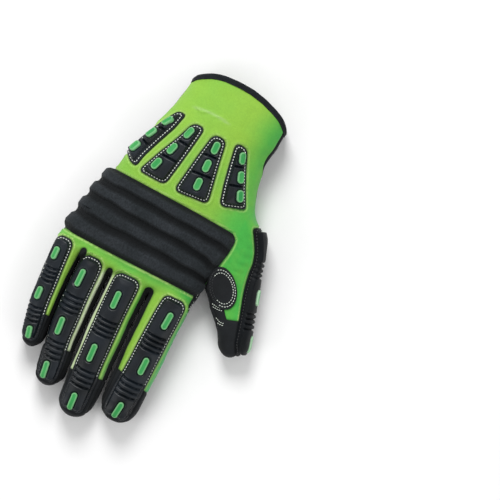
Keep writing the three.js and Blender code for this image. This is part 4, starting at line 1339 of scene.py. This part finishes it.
lime = lime_fabric()
underside_suede = suede("palm_suede", srgb(20, 22, 24), srgb(30, 33, 36))
patch_suede = suede("grip_suede", srgb(24, 27, 31), srgb(38, 42, 48), 0.8)
stretch_knit = knit("black_knit", srgb(15, 17, 18), srgb(25, 28, 30))
pad_knit = knit("padded_knit", srgb(29, 34, 37), srgb(41, 45, 49), 1.0, 0.84, 20, 0.42)
tape = knit("binding_tape", srgb(14, 18, 21), srgb(26, 31, 35), 0.6, speckle=0.35)
guard_rubber = rubber("guard_rubber", srgb(11, 16, 20), srgb(20, 28, 36), 0.4, srgb(34, 43, 52))
# Insert rubber: its last colour serves the scuffs and the painted rim highlight
tab_rubber = rubber("tab_rubber", srgb(40, 142, 70), srgb(58, 156, 78), 0.5, srgb(112, 176, 118), True)
# Painted shade: a darker copy of the guard rubber for the thumb's guard, which is seen on its side
shaded_thumb_rubber = rubber("shaded_thumb_rubber", srgb(6, 9, 12), srgb(12, 17, 22), 0.55, srgb(24, 30, 36), gloss=0.16)
# Painted highlight: a paler copy of the insert rubber for the thumb's inserts, which are seen edge-on
lit_thumb_tab_rubber = rubber("lit_thumb_tab_rubber", srgb(96, 172, 112), srgb(118, 186, 130), 0.5,
                          srgb(176, 216, 178), True)
white_thread = thread("white_thread", srgb(236, 244, 232), srgb(200, 210, 198))
dark_thread = thread("dark_thread", srgb(30, 32, 35), srgb(14, 15, 16))


def painted_green_shade(points, on_finger):
    """Painted shade on the lime cloth, with some random variation: lime at 0, green at 1, a cool green at 2.
    """
    x, y, z = points.T
    # Painted shade: greener low on the sides, towards the thumb, just below the knuckle pad and on two
    # fingers' sides; the swell varies it at random
    shade_tone = (0.1 + 0.5 * smooth_step(24, 12, z) + 0.75 * smooth_step(18, 44, x) + 0.3 * smooth_step(42, 50, x)
            + 0.55 * bell(y + 19, 5) + 0.12 * swell(points, 40, 11))
    sides = 0.5 * bell(x - 2, 2.5) + 0.9 * smooth_step(32.5, 34, x) * (x < 40)
    return np.clip(shade_tone, 0, 1) + on_finger * sides


def painted_highlights(points, on_finger):
    """Painted highlights on the cloth: on both sides of the middle finger, and along a crease of the cuff."""
    x, y, z = points.T
    strip = STRIPS["ring_middle"]
    beside_strip = np.maximum(strip.read("left", y) - x, x - strip.read("right", y))
    highlight_paint = 0.92 * on_finger * smooth_step(4.5, 2.2, beside_strip) * (np.abs(x + 24) < 7)
    highlight_paint += 0.22 * on_finger * bell(x - 4, 2.0) * smooth_step(-40, -60, y)
    crease_at = 98.9 + 1.6 * np.sin(np.pi * np.clip((x + 23.5) / 29.5, 0, 1))
    crease = bell(y - crease_at, 0.9) * smooth_step(-25, -19, x) * smooth_step(8, 2, x) * (z > 20)
    return highlight_paint + 0.18 * crease


# Fabric
skin_points, skin_faces = glove_skin()
_, skin_normals = onto_hand(skin_points, 0)
to_sewn = distance_to_sewn(skin_points, skin_normals)
to_seam = nearest_seam(skin_points)
skin_outer = raised(skin_points, skin_normals, fabric_relief(skin_points, to_seam, to_sewn))
skin_inner = raised(skin_points, skin_normals, -FABRIC)
on_finger = smooth_step(-27, -34, skin_points[:, 1])
skin_marks = {"shade_tone": painted_green_shade(skin_points, on_finger),
              "highlight_paint": painted_highlights(skin_points, on_finger),
              # painted highlight beside the sewn-on parts, strongest below the knuckle pad
              "edge_highlight": bell(to_sewn + 0.95, 0.5) * (0.5 + 0.45 * bell(skin_points[:, 1] + 21, 5)),
              # painted shade in the seams and at the edges of the sewn-on parts
              "valley_shade": np.clip(0.75 * bell(to_seam, 0.55) + 0.5 * smooth_step(-0.9, -0.1, to_sewn), 0, 1)}


def skin_piece(name, chosen, material, nodes, slot):
    """A closed piece of cloth from some of the skin's faces."""
    used, faces = in_use(skin_faces[chosen])
    shell = closed_shell(skin_outer[used], skin_inner[used], faces)
    marks = {key: np.tile(values[used], 2) for key, values in skin_marks.items()}
    make_piece(name, *shell, material, nodes, slot, 40, marks)


def faces_where(values):
    return on_positive_side(skin_faces, values)


tips = faces_where(in_tip(skin_points))
thumb_cap = faces_where(in_thumb_tip(skin_points))
upper_side = faces_where(above_seam(skin_points)) & ~faces_where(in_crotch(skin_points))
upper_side = (upper_side | faces_where(in_thumb_wrap(skin_points))) & ~tips & ~thumb_cap
strips = {name: upper_side & faces_where(in_strip(skin_points, name)) for name in STRIPS}
every_strip = np.logical_or.reduce(list(strips.values()))
lower_side = ~upper_side & ~tips & ~thumb_cap
sleeves = ("little", "ring", "middle", "index", "thumb")
skin_piece("back", upper_side & ~every_strip, lime,
           ["back_panel"] + ["back_sleeve_" + name for name in sleeves], "lime_fabric")
skin_piece("underside", lower_side, underside_suede,
           ["palm_panel"] + ["palm_sleeve_" + name for name in sleeves], "palm_suede")
for name, chosen in strips.items():
    skin_piece("between_fingers_" + name, chosen, stretch_knit, ["fourchette_" + name], "black_knit")
finger_of_face = finger_numbers(skin_points)[skin_faces].min(1)
for i, name in enumerate(fingers):
    cap = tips & (finger_of_face == i)
    skin_piece("cap_" + name, cap, underside_suede, ["fingertip_" + name], "palm_suede")
skin_piece("cap_thumb", thumb_cap, underside_suede, ["thumb_tip"], "palm_suede")

# Guards with their inserts
THREAD_LIFT = 0.12       # of the stitches' middles over the guard's flange


def guard_piece(name, outline, seat, tabs, tab_nodes, flex=(), grooves=(), bend=FINGER_FLEX,
                rubbers=(guard_rubber, tab_rubber)):
    """A guard with its inserts. The tabs are their outlines in the guard's plan."""
    def height_of(plan):
        return guard_height(plan, outline, tabs, flex, grooves, bend)

    def foot_of(plan):
        return guard_level(np.maximum(inset(plan, outline), TAB_DEPTH))

    shell = slab_piece(outline, seat, height_of, GUARD_CELL)
    make_piece(name + "_rubber", *shell, rubbers[0], [name], "guard_rubber", 60)
    for tab, tab_node in zip(tabs, tab_nodes):
        # The inserts' rims carry a painted highlight
        *insert, rim = tab_piece(tab, seat, foot_of)
        make_piece(tab_node + "_insert", *insert, rubbers[1], [tab_node], "tab_rubber", 55, {"rim": rim})


def insert_outlines(guard, seat):
    return [seen_from_above(seat, tab_outline(x, at, lean, guard["tab"]), FLANGE + POD_RISE)
            for x, at, lean in guard["tabs"]]


def guard_stitches(outline, seat):
    """The row of stitches round a guard, and the places of its stitches in the plan."""
    line = parallel_line(outline, STITCH_INSET)
    row = stitches_on(seat, line, guard_level(STITCH_INSET) + THREAD_LIFT, STITCH_PITCH, STITCH_RADIUS)
    return row, resampled(line, STITCH_PITCH)[:-1]


def parted(row, chosen):
    """Two rows out of one: the chosen stitches, and the others."""
    points, faces = row
    here = np.repeat(chosen, len(faces) // len(chosen))
    return (points, faces[here]), (points, faces[~here])


white_rows, dark_rows = [], []
for name, guard in FINGER_GUARDS.items():
    outline, seat = finger_guard_outline(guard), plan_seat(fingers[name])
    guard_piece("finger_guard_" + name, outline, seat, insert_outlines(guard, seat),
                ["finger_tab_%s_%d" % (name, i + 1) for i in range(3)], flex_places(guard["flex"]))
    row, places = guard_stitches(outline, seat)
    white, dark = parted(row, places[:, 1] > TIP_CUTS[name][0] + 1.5)
    white_rows.append(white)
    dark_rows.append(dark)
for name, guard in HAND_GUARDS.items():
    outline, seat = hand_guard_outline(guard), plan_seat(palm)
    guard_piece("hand_guard_" + name, outline, seat, insert_outlines(guard, seat),
                ["hand_tab_%s_%d" % (name, i + 1) for i in range(3)], (), guard["grooves"])
    white_rows.append(guard_stitches(outline, seat)[0])
thumb_tabs = [tab_outline(np.interp(math.radians(angle), THUMB_ANGLE, THUMB_ARC), at, 0, THUMB_GUARD["tab"])
              for at, angle in THUMB_GUARD["tabs"]]
guard_piece("thumb_guard", thumb_guard_outline(), thumb_seat, thumb_tabs, ["thumb_tab_1", "thumb_tab_2"],
            THUMB_GUARD["flex"], (), THUMB_FLEX, (shaded_thumb_rubber, lit_thumb_tab_rubber))
dark_rows.append(guard_stitches(thumb_guard_outline(), thumb_seat)[0])

*pad_shell, pad_valley_shade = knuckle_pad()
pad = make_piece("knuckle_padding", *pad_shell, pad_knit, ["knuckle_pad"], "padded_knit", 70,
                 {"valley_shade": pad_valley_shade})


def subdivided(points, faces):
    """Each triangle becomes four, and the new points are drawn onto the hand."""
    pairs, which = edges_of(faces)
    middle, _ = onto_hand((points[pairs[:, 0]] + points[pairs[:, 1]]) / 2, 1)
    ab, bc, ca = (which + len(points)).T
    a, b, c = faces.T
    parts = [np.stack(corners, 1) for corners in ((a, ab, ca), (ab, b, bc), (ca, bc, c), (ab, bc, ca))]
    return np.concatenate([points, middle]), np.concatenate(parts)


# Saddle over the crotch of the thumb
SADDLE_ROWS = (1.3, 2.6)
SADDLE_EDGE, SADDLE_RISE, SADDLE_CROWN = 0.45, 0.85, 0.25
SADDLE_PLAIN_SIDE = np.array([-0.9, -0.44])   # towards the crotch, where the thread is dark
used, saddle_faces = in_use(skin_faces[faces_where(in_saddle(skin_points))])
saddle_points = skin_points[used]
for _ in range(2):
    saddle_points, saddle_faces = subdivided(saddle_points, saddle_faces)
_, saddle_normals = onto_hand(saddle_points, 0)
depth = in_saddle(saddle_points)
saddle_level = SADDLE_EDGE + SADDLE_RISE * round_edge(depth, 0.9) + SADDLE_CROWN * smooth_step(3.5, 7, depth)
for row in SADDLE_ROWS:
    saddle_level -= 0.22 * bell(depth - row, 0.55)
saddle_level += 0.1 * swell(saddle_points, 8, 2)
saddle = closed_shell(raised(saddle_points, saddle_normals, saddle_level),
                      raised(saddle_points, saddle_normals, -0.1), saddle_faces)
make_piece("saddle", *saddle, underside_suede, ["thumb_saddle_patch"], "grip_suede", 60,
           {"valley_shade": np.zeros(len(saddle[0]))})

# Binding round the mouth of the cuff
BINDING = np.array([   # steps towards the mouth and outward
    (-1.9, -0.2), (-1.95, 0.4), (-1.6, 0.72), (-1.05, 0.66), (-0.75, 0.5), (-0.45, 0.68), (0.6, 0.88),
    (1.4, 0.8), (1.95, 0.45), (2.25, -0.1), (2.3, -0.8), (2.1, -1.5), (1.5, -1.95), (0.2, -2.1),
    (-1.4, -2.05), (-1.9, -1.7), (-1.9, -1.2)])
rim = skin_points[max(boundary_loops(skin_faces), key=len)]
rim = resampled(closed(rim), 0.9)[:-1]
for _ in range(3):
    rim = (np.roll(rim, 1, 0) + 2 * rim + np.roll(rim, -1, 0)) / 4
_, rim_outward = onto_hand(rim, 0)
rim_along = unit(np.roll(rim, -1, 0) - np.roll(rim, 1, 0))
rim_to_mouth = unit(np.cross(rim_along, rim_outward))
rim_to_mouth *= np.sign(rim_to_mouth[:, 1].sum())
pucker = 1 + 0.05 * np.sin(np.arange(len(rim)) * 2.1)
binding = swept(rim, rim_to_mouth, rim_outward * pucker[:, None], BINDING)
make_piece("binding", *binding, tape, ["cuff_binding"], "binding_tape", 60)

# Grip patch under the palm
PATCH = rounded([
    (-44, 46.5), (-24, 46.8), (-4, 42.5), (7, 38.5), (12.3, 33), (14.6, 26), (16.4, 15), (18.2, 5),
    (21, -5.5), (24.6, -14), (27.6, -22), (28.8, -29.5), (25, -35.6), (8, -36.4), (-33, -30),
    (-51.5, -27.4), (-57.6, -20.5), (-57, 3), (-51.5, 34), (-48, 43)], 4, 4)
ISLAND = rounded([
    (-42, 40.5), (-38, 42), (-16, 39.5), (-6, 36.5), (-3.5, 33.5), (-2.3, 26), (-0.3, 17.6), (3.6, 5.5),
    (7.7, -4.4), (12, -12.3), (11.6, -15.4), (6.4, -15.8), (-12, -12.6), (-32.2, -8.3), (-44.2, -4.4),
    (-48, -0.3), (-48.8, 9.2), (-47.5, 24.7)], 4, 4)


PATCH_ROWS = (1.5, 3.5)
PATCH_PITCH = 2.4
PATCH_EDGE, PATCH_RISE, ISLAND_RISE = 0.3, 0.55, 0.45
PATCH_CELL = 0.7


def patch_seat(plan):
    return onto_hand(at_height(plan, 0.6), 3)


def patch_level(plan):
    """Height of the patch over the fabric: a rounded border, sunk rows of stitches and a raised island."""
    depth, island = inset(plan, PATCH), inset(plan, ISLAND)
    level = PATCH_EDGE + PATCH_RISE * round_edge(depth, 0.9) + ISLAND_RISE * smooth_step(-0.4, 1.6, island)
    for row in PATCH_ROWS:
        level -= 0.2 * bell(depth - row, 0.55)
    return level - 0.25 * bell(island + 0.1, 0.6)


patch = slab_piece(PATCH, patch_seat, patch_level, PATCH_CELL)
make_piece("patch", *patch, patch_suede, ["palm_patch"], "grip_suede", 60, {"valley_shade": np.zeros(len(patch[0]))})


# Threads
CHEVRONS = {   # on the palm's side of each finger: places at its little side, middle and thumb side
    "little": [(-41, -46.8, -42.8), (-64.5, -61.2, -68), (-75.6, -69.8, -77.8)],
    "ring": [(-53.2, -59.4, -55.6), (-86.6, -80.5, -86), (-97.8, -91.4, -98.3)],
    "middle": [(-57.4, -62.8, -55.6), (-93.5, -88, -94.8), (-104.8, -98.6, -106.8)],
    "index": [(-51, -59.6, -55), (-85, -78.2, -82.5), (-93.4, -87.4, -94.6)],
}
CHEVRON_INSET = 2.6
THUMB_CHEVRONS = [[(61.2, 20.2), (54.2, 2.8), (47, -1.5)], [(74, 5), (58.8, -4.6), (59, -11.5)]]
THUMB_SIDE_ROWS = [[(48.6, -18.2), (54.3, -18.9), (57.4, -18.2)], [(53.8, -25), (59.3, -27.6), (62.5, -27.2)]]
INDEX_SIDE_ROW = [(37.2, -12), (36.9, -18), (36.4, -24), (35.7, -29), (35.2, -32.5)]
FINE_PITCH = 1.9
FINE_RADIUS = 0.24

for gap in PATCH_ROWS:
    white_rows.append(stitches_on(patch_seat, parallel_line(PATCH, gap), 0.72, PATCH_PITCH, STITCH_RADIUS))
white_rows.append(stitches_on(patch_seat, closed(ISLAND), 0.85, PATCH_PITCH, STITCH_RADIUS))
for gap, white_until in zip(SADDLE_ROWS, (3.5, 5.5)):
    path = max(paths_along(raised(saddle_points, saddle_normals, saddle_level + 0.1), saddle_faces,
                           in_saddle(saddle_points) - gap), key=len)
    path = resampled(path, FINE_PITCH)
    _, normals = onto_hand(path, 0)
    to_plain_side = (path[:-1, :2] - (SADDLE["x"], SADDLE["y"])) @ SADDLE_PLAIN_SIDE
    dark, white = parted(stitch_row(path, normals, FINE_RADIUS), to_plain_side > white_until)
    white_rows.append(white)
    dark_rows.append(dark)


def seat_below(plan):
    """Where points of the plan lie on the palm's side."""
    points = at_height(plan, -6.0)
    for _ in range(50):
        points[:, 2] = np.minimum(points[:, 2] + 0.8 * hand_distance(*points.T), 20)
    return onto_hand(points, 1)


def seat_above(plan):
    return onto_hand(dropped(plan), 1)


DOUBLE_ROW_LIFT = 0.1


def double_row(seat, corners, gap=1.25, pitch=1.95):
    """Two lines of stitches side by side along a bent line, as far as it lies on the fabric."""
    path = resampled(np.array(corners, float), 0.6)
    for _ in range(2):
        path[1:-1] = (path[:-2] + 2 * path[1:-1] + path[2:]) / 4
    along = unit(np.gradient(path, axis=0))
    across = np.stack([-along[:, 1], along[:, 0]], 1)
    for shift in (-gap / 2, gap / 2):
        plan = resampled(path + across * shift, pitch)
        base, normals = seat(plan)
        seated = (np.abs(hand_distance(*base.T)) < 0.2) & (np.abs(normals[:, 2]) > 0.5)
        first, last = np.flatnonzero(seated)[[0, -1]]
        base, normals = base[first:last + 1], normals[first:last + 1]
        white_rows.append(stitch_row(base + normals * DOUBLE_ROW_LIFT, normals, FINE_RADIUS))


for name, rows in CHEVRONS.items():
    for places in rows:
        edges = fingers[name].sections
        left, right = (edges.read(side, np.array(places, float)) for side in ("left", "right"))
        across = [left[0] + CHEVRON_INSET, (left[1] + right[1]) / 2, right[2] - CHEVRON_INSET]
        double_row(seat_below, list(zip(across, places)))
for corners in THUMB_CHEVRONS:
    double_row(seat_below, corners)
for corners in THUMB_SIDE_ROWS:
    double_row(seat_above, corners, 1.5, 1.5)
index_side = np.array(INDEX_SIDE_ROW, float)
white_rows.append(stitches_on(seat_above, index_side, THREAD_LIFT, FINE_PITCH, FINE_RADIUS))
make_piece("white_stitches", *joined(white_rows), white_thread, sharp=180)
make_piece("dark_stitches", *joined(dark_rows), dark_thread, sharp=180)

# Studio
PHOTO_WIDTH = 347.5
PHOTO_MIDDLE = (46.83, 28.52)
PHOTO_TURN = 26.0           # degrees from the photo's upright to the hand's
CAMERA_HEIGHT = 3000.0
HAND_HALF_HEIGHT = 20.0
SENSOR = 36.0
floor_mesh = bpy.data.meshes.new("studio_floor")
reach = 6000 * MM
floor_mesh.from_pydata([(-reach, -reach, 0), (reach, -reach, 0), (reach, reach, 0), (-reach, reach, 0)], [],
                       [(0, 1, 2, 3)])
floor_mesh.materials.append(floor_paper())
placed("studio_floor", floor_mesh)

camera = placed("camera", bpy.data.cameras.new("camera"))
camera.location = (PHOTO_MIDDLE[0] * MM, PHOTO_MIDDLE[1] * MM, (CAMERA_HEIGHT + HAND_HALF_HEIGHT) * MM)
camera.rotation_euler = (0, 0, math.radians(PHOTO_TURN))
camera.data.sensor_width = SENSOR
camera.data.lens = SENSOR * CAMERA_HEIGHT / PHOTO_WIDTH
camera.data.clip_start, camera.data.clip_end = 0.1, 20
bpy.context.scene.camera = camera


HAND_CENTRE = (30, 0, 15)


def soft_light(name, place, size, power):
    """A square lamp at a place in millimetres, facing the hand."""
    light = placed(name, bpy.data.lights.new(name, "AREA"))
    light.data.shape, light.data.size = "SQUARE", size * MM
    light.data.energy = power
    light.location = [length * MM for length in place]
    toward = np.array(HAND_CENTRE) - np.array(place)
    toward = toward / np.linalg.norm(toward)
    light.rotation_euler = (math.acos(-toward[2]), 0, math.atan2(-toward[0], toward[1]))


soft_light("key", (-500, 900, 1100), 600, 16)
soft_light("fill", (900, -300, 900), 900, 3)
soft_light("back_light", (-700, -700, 700), 700, 3)
world = bpy.data.worlds.new("studio")
world.use_nodes = True
background = world.node_tree.nodes["Background"].inputs
background["Color"].default_value = (1, 1, 1, 1)
background["Strength"].default_value = 0.5
bpy.context.scene.world = world
bpy.context.scene.view_settings.view_transform = "Standard"
